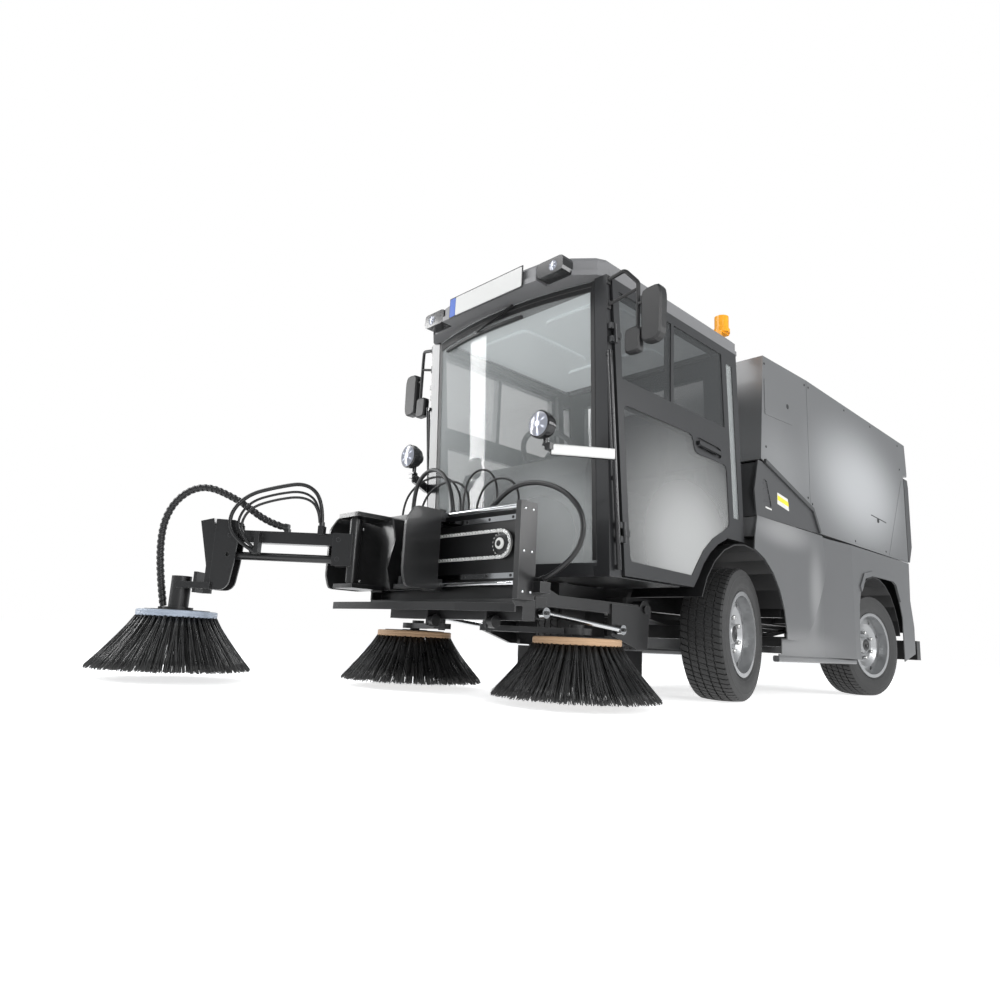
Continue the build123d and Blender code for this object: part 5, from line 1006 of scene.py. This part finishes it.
BOOM_BUNDLE = [(0.880, 0.332), (0.940, 0.560), (0.930, 0.800), (0.780, 0.925), (0.580, 0.850),
               (0.430, 0.744), (0.345, 0.726)]
BOOM_LOOP = [
    (0.145, 0.745), (0.150, 0.850), (0.235, 0.930), (0.370, 0.905), (0.515, 0.862), (0.592, 0.760),
    (0.556, 0.652),
    (0.468, 0.606),
]
UNIT_ARCH = [(-0.040, 0.816), (-0.060, 0.930), (-0.160, 1.030), (-0.270, 1.030), (-0.345, 0.940),
             (-0.340, 0.816)]
DRAG_LOOP = (
    (0.240, -1.416, 0.822), (0.300, -1.400, 0.885), (0.440, -1.390, 0.900), (0.590, -1.382, 0.850),
    (0.695, -1.380, 0.745), (0.695, -1.380, 0.625), (0.600, -1.380, 0.535), (0.505, -1.380, 0.498),
)
HOSES = (
    Hose("hose_bundle_over_boom", "boom_beam", 0.030, boom_points(BOOM_BUNDLE, -0.012), "hose_boom_bundle",
         "hose_wrap"),
    Hose("hose_loop_beside_boom", "boom_beam", 0.018, boom_points(BOOM_LOOP, 0.058), "hose_boom_loop"),
    Hose("hose_arch_on_unit", "front_unit", 0.020, tuple((x, -1.416, z) for x, z in UNIT_ARCH),
         "hose_unit_arch"),
    Hose("hose_drag_loop", "front_unit", 0.0215, DRAG_LOOP, "hose_unit_loop"),
)
CROWNS = (
    BrushCrown("brush_left", "side_brush_left", (0.470, -1.130), 0.030, 0.215, 0.185, 0.035,
               "tan_wood_disc", 11),
    BrushCrown("brush_right", "side_brush_right", (-0.530, -1.210), 0.030, 0.215, 0.185, 0.035,
               "tan_wood_disc", 12),
    BrushCrown("brush_third", "third_brush", (-1.036, -2.208), 0.045, 0.237, 0.175, 0.035, "pale_blue_disc",
               13),
)
TYRES = (
    Tyre("front_left", 1, 0.0, 10.0), Tyre("front_right", -1, 0.0, 10.0),
    Tyre("rear_left", 1, 1.9, -10.0), Tyre("rear_right", -1, 1.9, -10.0),
)


@dataclass(frozen=True)
class Plate:
    """A flat piece with a rounded outline and bevelled rims, placed by an origin and two directions."""

    name: str
    body: str
    finish: str
    origin: Point
    across: Point
    upward: Point
    outline: tuple[tuple[float, float], ...]
    depth: float
    bevel: float = 0.001
    corner: float = 0.006

    def rounded(self) -> np.ndarray:
        """Outline with curved corners: five points of an arc at each, weighted (1-t)^2, 2t(1-t) and t^2.

        Returns:
            (n, 2) points.
        """
        points = np.array(self.outline)
        before, after = np.roll(points, 1, axis=0), np.roll(points, -1, axis=0)
        to_before, to_after = before - points, after - points
        long_before = np.linalg.norm(to_before, axis=1)[:, None]
        long_after = np.linalg.norm(to_after, axis=1)[:, None]
        first = points + to_before / long_before * np.minimum(self.corner, long_before * 0.45)
        last = points + to_after / long_after * np.minimum(self.corner, long_after * 0.45)
        t = np.linspace(0.0, 1.0, 5)[None, :, None]
        arcs = (1 - t) ** 2 * first[:, None] + 2 * t * (1 - t) * points[:, None] + t ** 2 * last[:, None]
        return arcs.reshape(-1, 2)

    def build(self, wardrobe: Wardrobe) -> bpy.types.Object:
        """Make the plate: four rings of the outline, the outer two taken in by the bevel, and two middles.

        Args:
            wardrobe: the finishes.

        Returns:
            The piece.
        """
        outline = self.rounded()
        middle = outline.mean(axis=0)
        reach = np.linalg.norm(outline - middle, axis=1)[:, None]
        inner = middle + (outline - middle) * (1.0 - np.minimum(self.bevel / reach, 0.4))
        rings = [(inner, 0.0), (outline, self.bevel), (outline, self.depth - self.bevel), (inner, self.depth)]
        flat = np.concatenate([np.column_stack([ring, np.full(len(ring), height)]) for ring, height in rings])
        flat = np.concatenate([flat, [[*middle, 0.0], [*middle, self.depth]]])
        u, v = unit(np.array(self.across)), unit(np.array(self.upward))
        w = np.cross(u, v)
        points = np.array(self.origin) + flat[:, :1] * u + flat[:, 1:2] * v + flat[:, 2:] * w
        count = len(outline)
        sides = MeshMaker.grid_faces(4, count, close_columns=True)
        ring = np.arange(count)
        low = np.stack([np.full(count, 4 * count), np.roll(ring, -1), ring], axis=1)
        high = np.stack([np.full(count, 4 * count + 1), 3 * count + ring, 3 * count + np.roll(ring, -1)],
                        axis=1)
        faces = sides.tolist() + low.tolist() + high.tolist()
        piece = MeshMaker.build(self.name, placed(points), faces, smooth=False)
        wardrobe.dress(piece, self.finish)
        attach(piece, self.body)
        return piece


@dataclass(frozen=True)
class Studs:
    """Many small domed heads on a surface, joined in one mesh."""

    name: str
    body: str
    finish: str
    normal: Point
    radius: float
    height: float
    places: tuple[Point, ...]
    sides: int = 12

    def build(self, wardrobe: Wardrobe) -> bpy.types.Object:
        """Make the heads: three rings whose radius and height follow a quarter circle.

        Args:
            wardrobe: the finishes.

        Returns:
            The piece.
        """
        normal = unit(np.array(self.normal))
        helper = np.array([0.0, 0.0, 1.0]) if abs(normal[2]) < 0.9 else np.array([1.0, 0.0, 0.0])
        side = unit(np.cross(helper, normal))
        other = np.cross(normal, side)
        angle = np.arange(self.sides) * 2.0 * np.pi / self.sides
        turn = np.cos(angle)[:, None] * side + np.sin(angle)[:, None] * other
        profile = [(1.0, -0.3), (1.0, 0.45), (0.80, 0.85), (0.35, 1.0), (0.05, 1.0)]
        rings = [turn * (self.radius * r) + normal * (self.height * h) for r, h in profile]
        template = np.concatenate(rings)
        points = np.array(self.places)[:, None, :] + template[None, :, :]
        pattern = MeshMaker.grid_faces(len(profile), self.sides, close_columns=True)
        faces = pattern[None] + (np.arange(len(self.places)) * len(template))[:, None, None]
        piece = MeshMaker.build(self.name, placed(points.reshape(-1, 3)), faces.reshape(-1, 4))
        wardrobe.dress(piece, self.finish)
        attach(piece, self.body)
        return piece


@dataclass(frozen=True)
class LampLens:
    """Lit lamp face: a shallow glass dome over six small reflectors, with a star of glare."""

    name: str
    body: str
    centre: Point
    facing: Point
    radius: float
    petals: int = 6
    dome: float = 0.007

    def build(self, wardrobe: Wardrobe) -> bpy.types.Object:
        """Make the lens: height falls with the square of the radius; its glow is stored at every point.

        Args:
            wardrobe: the finishes.

        Returns:
            The piece.
        """
        rings, steps = 40, 96
        share = np.linspace(0.01, 1.0, rings)[:, None]
        angle = (np.arange(steps) * 2.0 * np.pi / steps)[None, :]
        spindle = Spindle(self.centre, self.facing, UPWARD)
        points = spindle.place(share * self.radius, self.dome * (1.0 - share ** 2), angle)
        faces = MeshMaker.grid_faces(rings, steps, close_columns=True)
        piece = MeshMaker.build(self.name, points, faces)
        core = 1.6 * np.exp(-((share / 0.16) ** 2))
        lobes = np.clip(np.cos(self.petals * angle), 0.0, 1.0) ** 3
        petal = np.exp(-(((share - 0.60) / 0.17) ** 2)) * lobes * 0.30
        star = np.exp(-((share / 0.75) ** 2)) * np.clip(np.cos(2.0 * angle), 0.0, 1.0) ** 40 * 0.9
        glow = np.clip(core + petal + star, 0.0, 2.0)
        layer = piece.data.attributes.new("glow", "FLOAT", "POINT")
        layer.data.foreach_set("value", glow.ravel().astype(np.float32))
        wardrobe.dress(piece, "lamp_glass")
        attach(piece, self.body)
        return piece


def bent(value: np.ndarray, power: float) -> np.ndarray:
    """A value's size raised to a power, with its sign kept."""
    return np.sign(value) * np.abs(value) ** power


@dataclass(frozen=True)
class Cushion:
    """Upholstered pad: a crowned closed form whose sides pull in, with sewn channels."""

    name: str
    centre: Point
    size: Point
    tilt: float
    channels: int = 3

    def build(self, wardrobe: Wardrobe) -> bpy.types.Object:
        """Make the pad: a superellipsoid of power 5 whose faces dip along the channels by a bell curve.

        Args:
            wardrobe: the finishes.

        Returns:
            The piece.
        """
        u = np.linspace(-np.pi / 2, np.pi / 2, 61)[:, None]
        v = np.linspace(-np.pi, np.pi, 120, endpoint=False)[None, :]
        power = 2.0 / 5.0
        x = bent(np.cos(u), power) * bent(np.cos(v), power)
        y = bent(np.cos(u), power) * bent(np.sin(v), power)
        z = bent(np.sin(u), power) + 0.0 * v
        seams = np.linspace(-0.6, 0.6, self.channels)
        dip = np.exp(-(((y[..., None] - seams) / 0.035) ** 2)).sum(axis=-1) * (np.abs(z) > 0.6)
        z = z * (1.0 - 0.16 * dip) * (1.0 + 0.06 * (1.0 - x ** 2) * (1.0 - y ** 2))
        form = np.stack([x, y, z], axis=-1) * np.array(self.size) / 2
        c, s = math.cos(self.tilt), math.sin(self.tilt)
        turned = np.stack([form[..., 0], form[..., 1] * c - form[..., 2] * s,
                           form[..., 1] * s + form[..., 2] * c], axis=-1)
        faces = MeshMaker.grid_faces(61, 120, close_columns=True)
        piece = MeshMaker.build(self.name, placed(turned + np.array(self.centre)), faces)
        wardrobe.dress(piece, "seat_cloth")
        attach(piece, "chassis")
        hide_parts("seat_cushions")
        return piece


@dataclass(frozen=True)
class Strip:
    """A thin bar that follows a line of points, such as a wiper blade or a seal."""

    name: str
    body: str
    finish: str
    line: tuple[Point, ...]
    width: float
    depth: float
    outward: Point

    def build(self, wardrobe: Wardrobe) -> bpy.types.Object:
        """Make the bar: a four-sided section set across the line, its depth along the outward direction.

        Args:
            wardrobe: the finishes.

        Returns:
            The piece.
        """
        line = np.array(self.line)
        tangent = np.gradient(line, axis=0)
        tangent /= np.linalg.norm(tangent, axis=1)[:, None]
        outward = np.array(self.outward) - (tangent * np.array(self.outward)).sum(axis=1)[:, None] * tangent
        outward /= np.linalg.norm(outward, axis=1)[:, None]
        side = np.cross(tangent, outward)
        w, d = self.width / 2, self.depth
        section = [line - side * w, line - side * w * 0.8 + outward * d,
                   line + side * w * 0.8 + outward * d, line + side * w]
        points = np.stack(section, axis=1)
        faces = MeshMaker.grid_faces(len(line), 4, close_columns=True).tolist()
        faces += [[3, 2, 1, 0], [4 * len(line) - 4, 4 * len(line) - 3, 4 * len(line) - 2, 4 * len(line) - 1]]
        piece = MeshMaker.build(self.name, placed(points.reshape(-1, 3)), faces, smooth=False)
        wardrobe.dress(piece, self.finish)
        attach(piece, self.body)
        return piece


def screen_line(height: float, start: float, stop: float, proud: float) -> tuple[Point, ...]:
    """Points on the windscreen's face at one height: a circle's arc in plan, leaning forward with the height.

    Args:
        height: metres above the ground.
        start: x of the first point.
        stop: x of the last point.
        proud: how far in front of the glass.

    Returns:
        (x, y, z) points.
    """
    half, sag = 0.5447, 0.072
    radius = (half ** 2 + sag ** 2) / (2.0 * sag)
    x = np.linspace(start, stop, 25)
    edge = -1.092 - 0.0489 * (height - 0.53)
    y = edge - sag + radius - np.sqrt(radius ** 2 - x ** 2) - proud
    return tuple((float(a), float(b), height) for a, b in zip(x, y))


def screen_rise(x: float, low: float, high: float, proud: float) -> tuple[Point, ...]:
    """Points up the windscreen's face at one x.

    Args:
        x: distance from the vehicle's middle.
        low: the lowest point's height.
        high: the highest point's height.
        proud: how far in front of the glass.

    Returns:
        (x, y, z) points.
    """
    return tuple(screen_line(float(z), x, x + 0.001, proud)[0] for z in np.linspace(low, high, 12))


def rectangle(x0: float, y0: float, x1: float, y1: float) -> tuple[tuple[float, float], ...]:
    """Four corners of an upright rectangle, from its low corner and its high one."""
    return ((x0, y0), (x1, y0), (x1, y1), (x0, y1))


def chain_pins() -> tuple[Point, ...]:
    """Pins of the chain's links: equal steps along two straight runs and two half circles.

    Returns:
        (x, y, z) points on the links' outer faces.
    """
    pitch, count, teeth = 0.01905, 94, 18
    radius = pitch / 2.0 / math.sin(math.pi / teeth)
    span = (count * pitch - 2.0 * math.pi * radius) / 2.0
    along = np.arange(count) * pitch
    turn = np.pi * radius
    near, far, height = 0.330, 0.330 - span, 0.637
    first, second = (along - span) / radius, (along - 2.0 * span - turn) / radius
    parts = [along < span, along < span + turn, along < 2.0 * span + turn]
    x = np.select(parts, [near - along, far - radius * np.sin(first), far + (along - span - turn)],
                  near + radius * np.sin(second))
    z = np.select(parts, [height + radius + 0.0 * along, height + radius * np.cos(first),
                          height - radius + 0.0 * along],
                  height - radius * np.cos(second))
    return tuple((float(a), -1.4660, float(b)) for a, b in zip(x, z))


SIDE = (REARWARD, UPWARD)
FRONT = (LEFTWARD, UPWARD)
HOPPER_SCREWS = tuple((0.6300, y, z) for y, z in (
    (0.85, 1.93), (0.85, 1.20), (0.91, 1.93), (0.91, 1.17), (0.30, 1.90), (0.30, 1.62), (0.30, 1.40),
    (1.50, 1.935),
    (2.00, 1.94), (2.60, 1.93), (1.00, 1.03), (1.60, 1.03), (2.20, 1.03), (2.62, 1.74),
))
PLATES = (
    Plate("hatch_latch", "hopper", "trim_black_plastic", (0.6303, 0.575, 1.700), *SIDE,
          rectangle(0.0, 0.0, 0.030, 0.030), 0.004, 0.001, 0.014),
    Plate("slot_latch", "hopper", "trim_black_plastic", (0.6303, 2.050, 1.224), *SIDE,
          rectangle(0.0, 0.0, 0.030, 0.030), 0.004, 0.001, 0.014),
    # A thin black plate stands in for the slot: painted shade inside the gap.
    Plate("slot_painted_shade", "hopper", "trim_black_plastic", (0.6302, 1.928, 1.262), *SIDE,
          ((0.0, 0.004), (0.310, -0.008), (0.310, -0.014), (0.0, -0.002)), 0.0015, 0.0004, 0.002),
    Plate("blank_label_pale", "chassis", "label_white", (0.6465, 0.385, 1.082), *SIDE,
          ((0.0, 0.0), (0.150, -0.020), (0.135, 0.050), (0.004, 0.066)), 0.0015, 0.0004, 0.004),
    Plate("blank_label_yellow", "chassis", "label_yellow", (0.6476, 0.388, 1.105), *SIDE,
          ((0.0, 0.0), (0.142, -0.018), (0.137, 0.008), (0.001, 0.028)), 0.0012, 0.0003, 0.003),
    Plate("blank_label_dash", "chassis", "label_white", (0.6465, 0.238, 1.035), *SIDE,
          ((0.0, 0.0), (0.075, -0.004), (0.075, 0.005), (0.0, 0.009)), 0.0015, 0.0004, 0.002),
)
STUDS = (
    Studs("hopper_screws", "hopper", "trim_black_plastic", LEFTWARD, 0.0075, 0.003, HOPPER_SCREWS),
    Studs("strip_screws", "front_unit", "frame_black_paint", FORWARD, 0.0065, 0.003,
          tuple((x, -1.447, z) for x in (0.10, 0.24, 0.38) for z in (0.746, 0.508))),
    Studs("end_plate_screws", "front_unit", "bright_chrome", LEFTWARD, 0.0065, 0.004,
          tuple((0.4721, y, z) for y in (-1.470, -1.425) for z in (0.44, 0.60, 0.77))),
    Studs("chain_pins", "front_unit", "bright_chrome", FORWARD, 0.0034, 0.0025, chain_pins(), 8),
    Studs("sprocket_face", "front_unit", "frame_black_paint", FORWARD, 0.0455, 0.0030,
          ((0.330, -1.4610, 0.637),), 32),
    Studs("sprocket_hub", "front_unit", "label_white", FORWARD, 0.0240, 0.0060, ((0.330, -1.4690, 0.637),),
          24),
    # A black disc stands in for the hub's recess: painted shade.
    Studs("sprocket_recess_painted_shade", "front_unit", "trim_black_plastic", FORWARD, 0.0125, 0.0015,
          ((0.330, -1.4746, 0.637),), 20),
    Studs("cheek_bolts", "slide_carriage", "worn_steel", FORWARD, 0.008, 0.005,
          tuple((x, -1.5270, z) for x in (-0.59, -0.30, -0.22, -0.04) for z in (0.500, 0.755))),
)
BOOM_THIN = (
    (0.040, [(0.160, 0.745), (0.170, 0.835), (0.250, 0.895), (0.380, 0.875), (0.500, 0.835), (0.555, 0.750),
             (0.535, 0.665),
             (0.458, 0.612)]),
    (0.077, [(0.150, 0.740), (0.160, 0.815), (0.240, 0.862), (0.370, 0.840), (0.480, 0.800), (0.520, 0.730),
             (0.505, 0.660),
             (0.452, 0.616)]),
)
THIN_ROUTES = (
    ((-0.425, -1.416, 0.812), (-0.430, -1.410, 0.900), (-0.350, -1.395, 0.985), (-0.230, -1.385, 1.010),
     (-0.120, -1.370, 0.985), (-0.060, -1.360, 0.905), (-0.050, -1.360, 0.800), (-0.050, -1.385, 0.735),
     (-0.050, -1.428, 0.715)),
    ((-0.300, -1.410, 0.800), (-0.290, -1.396, 0.900), (-0.210, -1.380, 0.965), (-0.090, -1.370, 0.975),
     (-0.010, -1.360, 0.920), (0.010, -1.360, 0.820), (0.010, -1.385, 0.740), (0.010, -1.428, 0.715)),
    ((0.020, -1.410, 0.800), (0.000, -1.395, 0.905), (0.040, -1.380, 0.995), (0.130, -1.370, 1.000),
     (0.185, -1.360, 0.930), (0.190, -1.360, 0.820), (0.190, -1.385, 0.740), (0.190, -1.428, 0.715)),
    ((0.110, -1.410, 0.800), (0.110, -1.396, 0.890), (0.190, -1.380, 0.950), (0.290, -1.370, 0.930),
     (0.330, -1.360, 0.850), (0.330, -1.385, 0.750), (0.330, -1.428, 0.715)),
)


THIN_HOSES = tuple(
    Hose(f"hose_thin_{number}", "front_unit", 0.011, route) for number, route in enumerate(THIN_ROUTES, 1)
) + tuple(
    Hose(f"hose_boom_thin_{number}", "boom_beam", 0.012, boom_points(route, offset))
    for number, (offset, route) in enumerate(BOOM_THIN, 1)
)
HEADLINER = ((-0.50, -1.09), (0.50, -1.09), (0.55, -1.00), (0.55, -0.10), (-0.55, -0.10), (-0.55, -1.00))
# Pale lining pieces under the cab roof; their finish glows as painted light.
LINING = tuple(
    Plate(name, "chassis", "cabin_lining_painted_glow", (0.0, 0.0, height), LEFTWARD, REARWARD, outline, *depths)
    for name, height, outline, depths in (
        ("headliner", 1.868, HEADLINER, (0.010, 0.003, 0.04)),
        ("lining_panel_left", 1.852, rectangle(0.06, -0.98, 0.46, -0.45), (0.016, 0.006, 0.05)),
        ("lining_panel_right", 1.852, rectangle(-0.46, -0.98, -0.06, -0.45), (0.016, 0.006, 0.05)),
        ("lining_console", 1.852, rectangle(-0.30, -0.38, 0.30, -0.14), (0.016, 0.006, 0.05)),
    )
)
WIPER_ARM = ((0.10, -1.232, 1.845), (0.03, -1.243, 1.822), (-0.06, -1.247, 1.800), (-0.14, -1.246, 1.778))
SCREEN_STRIPS = tuple(
    Strip(name, "chassis", "trim_black_plastic", line, width, depth, FORWARD)
    for name, line, width, depth in (
        ("screen_band_high", screen_line(1.838, -0.53, 0.53, 0.001), 0.024, 0.002),
        ("screen_band_low", screen_line(1.815, -0.53, 0.53, 0.001), 0.024, 0.002),
        ("wiper_blade", screen_line(1.772, -0.44, 0.16, 0.004), 0.014, 0.016),
        ("wiper_arm", WIPER_ARM, 0.016, 0.010),
        ("screen_edge_right", screen_rise(-0.530, 0.60, 1.85, 0.001), 0.026, 0.002),
        ("screen_edge_left", screen_rise(0.530, 0.60, 1.85, 0.001), 0.026, 0.002),
    )
)
NUMBER_PLATE = tuple(
    Plate(name, "chassis", finish, (0.0, -1.3394, 1.8500), *FRONT, outline, 0.0016, 0.0004, 0.008)
    for name, finish, outline in (
        ("plate_field", "plate_white", rectangle(-0.212, 0.004, 0.256, 0.102)),
        ("plate_blue_strip", "plate_blue", rectangle(-0.256, 0.004, -0.214, 0.102)),
    )
)
CUSHIONS = (
    Cushion("seat_pad", (0.0, -0.305, 1.012), (0.48, 0.39, 0.105), 0.0),
    Cushion("seat_back", (0.0, -0.125, 1.335), (0.47, 0.52, 0.105), math.radians(86.0)),
)


@dataclass
class Workshop:
    """Makes the fine pieces over the frame."""

    wardrobe: Wardrobe

    def tyres(self) -> None:
        """Make the four tyres."""
        for tyre in TYRES:
            piece = tyre.build()
            self.wardrobe.dress(piece, "tyre_rubber")
            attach(piece, "wheel_" + tyre.corner)
            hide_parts("tyre_" + tyre.corner)

    def lamps(self) -> None:
        """Make the lit faces of the working lamps and of the brow's lamps, and the working lamps' arms."""
        for side, name in ((1.0, "left"), (-1.0, "right")):
            bar = tuple((side * x, y, 1.042) for x, y in ((0.640, -1.120), (0.555, -1.232), (0.476, -1.336)))
            for piece in (
                Strip("lamp_arm_" + name, "chassis", "plate_white", bar, 0.046, 0.004,
                      (side * 0.8, -0.6, 0.0)),
                LampLens("lens_work_" + name, "chassis", (side * 0.450, -1.3955, 1.142), FORWARD, 0.053),
                LampLens("lens_brow_" + name, "chassis", (side * 0.430, -1.3195, 1.902), FORWARD, 0.024),
            ):
                piece.build(self.wardrobe)

    def wheels(self) -> None:
        """Make the nuts and the hub flange of each wheel."""
        count, ring, outward = 6, 0.085, 0.0505
        profile = np.array([(0.0005, 0.0640), (0.030, 0.0635), (0.038, 0.0620), (0.041, 0.0606),
                            (0.0005, 0.0606)])
        for tyre in TYRES:
            spindle, body = tyre.spindle(), "wheel_" + tyre.corner
            angle = np.arange(count) * 2.0 * np.pi / count
            places = spindle.place(np.full(count, ring), np.full(count, outward), angle) - ORIGIN
            nuts = tuple(tuple(point) for point in places.tolist())
            Studs("nuts_" + tyre.corner, body, "worn_steel", spindle.axis, 0.014, 0.016, nuts,
                  6).build(self.wardrobe)
            hub = spindle.turn("hub_" + tyre.corner, profile, 36)
            self.wardrobe.dress(hub, "frame_black_paint")
            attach(hub, "wheel_" + tyre.corner)

    def build(self) -> None:
        """Make every group of pieces."""
        self.tyres()
        tables = (CROWNS, HOSES, THIN_HOSES, PLATES, STUDS, CUSHIONS, LINING, SCREEN_STRIPS, NUMBER_PLATE)
        for table in tables:
            for piece in table:
                piece.build(self.wardrobe)
        self.lamps()
        self.wheels()


def hang(name: str, data: bpy.types.ID, axes: tuple[np.ndarray, ...], place: Point) -> bpy.types.Object:
    """Put a camera or a lamp in the scene.

    Args:
        name: the object's name.
        data: the camera or the lamp.
        axes: its own x, y and z directions.
        place: where it stands, from the vehicle's origin.

    Returns:
        The object.
    """
    matrix = np.eye(4)
    matrix[:3, :3] = np.stack(axes, axis=1)
    matrix[:3, 3] = placed(place)
    item = bpy.data.objects.new(name, data)
    bpy.context.scene.collection.objects.link(item)
    item.matrix_world = Matrix(matrix.tolist())
    return item


@dataclass(frozen=True)
class AreaLamp:
    """A soft rectangular lamp: where it hangs, the point it faces, its sizes and its watts."""

    name: str
    place: Point
    aim: Point
    size: tuple[float, float]
    power: float

    def build(self) -> None:
        """Make the lamp: it faces its aim, with its sides level."""
        data = bpy.data.lights.new(self.name, "AREA")
        data.shape = "RECTANGLE"
        data.size, data.size_y = self.size
        data.energy = self.power
        back = unit(np.array(self.place) - np.array(self.aim))
        side = unit(np.cross(np.array(UPWARD), back))
        hang(self.name, data, (side, np.cross(back, side), back), self.place)


AREA_LAMPS = (
    AreaLamp("key_from_above", (-2.5, -4.5, 6.0), (0.0, 0.0, 1.0), (4.0, 3.0), 170.0),
    AreaLamp("left_side_glow", (6.5, 2.5, 2.6), (0.6, 1.6, 1.1), (4.5, 2.0), 230.0),
    AreaLamp("front_edge_right", (-4.6, -4.2, 2.6), (-0.5, -1.6, 0.8), (0.8, 3.0), 120.0),
    AreaLamp("front_edge_left", (4.8, -3.2, 2.6), (0.4, -1.2, 0.9), (0.9, 3.2), 110.0),
    AreaLamp("rear_rim", (-4.0, 6.0, 4.0), (0.0, 1.0, 1.2), (4.0, 2.5), 200.0),
)


@dataclass
class Studio:
    """Pale floor, soft lights and the photograph's camera."""

    camera_point: Point = (2.4032, -3.4576, 0.2498)
    azimuth: float = math.radians(46.3219)
    pitch: float = math.radians(11.1677)
    roll: float = math.radians(2.8416)
    focal: float = 709.62
    picture: float = 1000.0
    sensor: float = 36.0

    def camera(self) -> None:
        """Place the camera: it looks along its azimuth and pitch, then turns about its line of sight."""
        look = np.array([
            -math.sin(self.azimuth) * math.cos(self.pitch),
            math.cos(self.azimuth) * math.cos(self.pitch),
            math.sin(self.pitch),
        ])
        right = np.array([math.cos(self.azimuth), math.sin(self.azimuth), 0.0])
        up = np.cross(right, look)
        turned_right = right * math.cos(self.roll) + up * math.sin(self.roll)
        turned_up = -right * math.sin(self.roll) + up * math.cos(self.roll)
        data = bpy.data.cameras.new("photo_camera")
        data.sensor_fit = "HORIZONTAL"
        data.sensor_width = self.sensor
        data.lens = self.focal / self.picture * self.sensor
        data.clip_end = 200.0
        camera = hang("photo_camera", data, (turned_right, turned_up, -look), self.camera_point)
        bpy.context.scene.camera = camera

    def world(self) -> None:
        """White where the camera and mirror rays see it, a dimmer even grey for the light it gives."""
        world = bpy.data.worlds.new("studio_white")
        bpy.context.scene.world = world
        world.use_nodes = True
        tools = NodeTools(world.node_tree)
        world.node_tree.nodes.clear()
        rays = tools.add("ShaderNodeLightPath").outputs
        bright = tools.add("ShaderNodeBackground", {"Color": (1.0, 1.0, 1.0)})
        soft = tools.add("ShaderNodeBackground", {"Color": (0.9, 0.95, 1.0), "Strength": 0.34})
        clear = tools.maths("MAXIMUM", rays["Is Camera Ray"], rays["Is Transmission Ray"])
        seen = tools.maths("MAXIMUM", clear, tools.maths("MULTIPLY", rays["Is Glossy Ray"], 0.20))
        mixer = tools.add("ShaderNodeMixShader", {0: seen, 1: soft.outputs[0], 2: bright.outputs[0]})
        tools.add("ShaderNodeOutputWorld", {"Surface": mixer.outputs[0]})

    def floor(self) -> None:
        """Wide pale floor that takes the object's shadow."""
        half = 60.0
        points = np.array([[-half, -half, 0.0], [half, -half, 0.0], [half, half, 0.0], [-half, half, 0.0]])
        floor = MeshMaker.build("studio_floor", points, np.array([[0, 1, 2, 3]]), smooth=False)
        material = bpy.data.materials.new("floor_white")
        material.use_nodes = True
        tools = NodeTools(material.node_tree)
        shader = material.node_tree.nodes["Principled BSDF"]
        for socket, value in (
            ("Base Color", (0.86, 0.86, 0.86)), ("Roughness", 0.9), ("Specular IOR Level", 0.1),
            ("Emission Color", (1.0, 1.0, 1.0)), ("Emission Strength", 0.74),
        ):
            tools.feed(value, shader.inputs[socket])
        floor.data.materials.append(material)

    def build(self) -> None:
        """Set the whole studio."""
        scene = bpy.context.scene
        scene.view_settings.view_transform = "Standard"
        self.camera()
        self.world()
        self.floor()
        for lamp in AREA_LAMPS:
            lamp.build()


def main() -> None:
    """Build the scene; the log reports the dressed frame nodes and each hose."""
    logging.basicConfig(level=logging.INFO, format="%(message)s")
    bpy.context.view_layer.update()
    wardrobe = Wardrobe()
    wardrobe.dress_frame()
    Workshop(wardrobe).build()
    Studio().build()


if __name__ == "__main__":
    main()
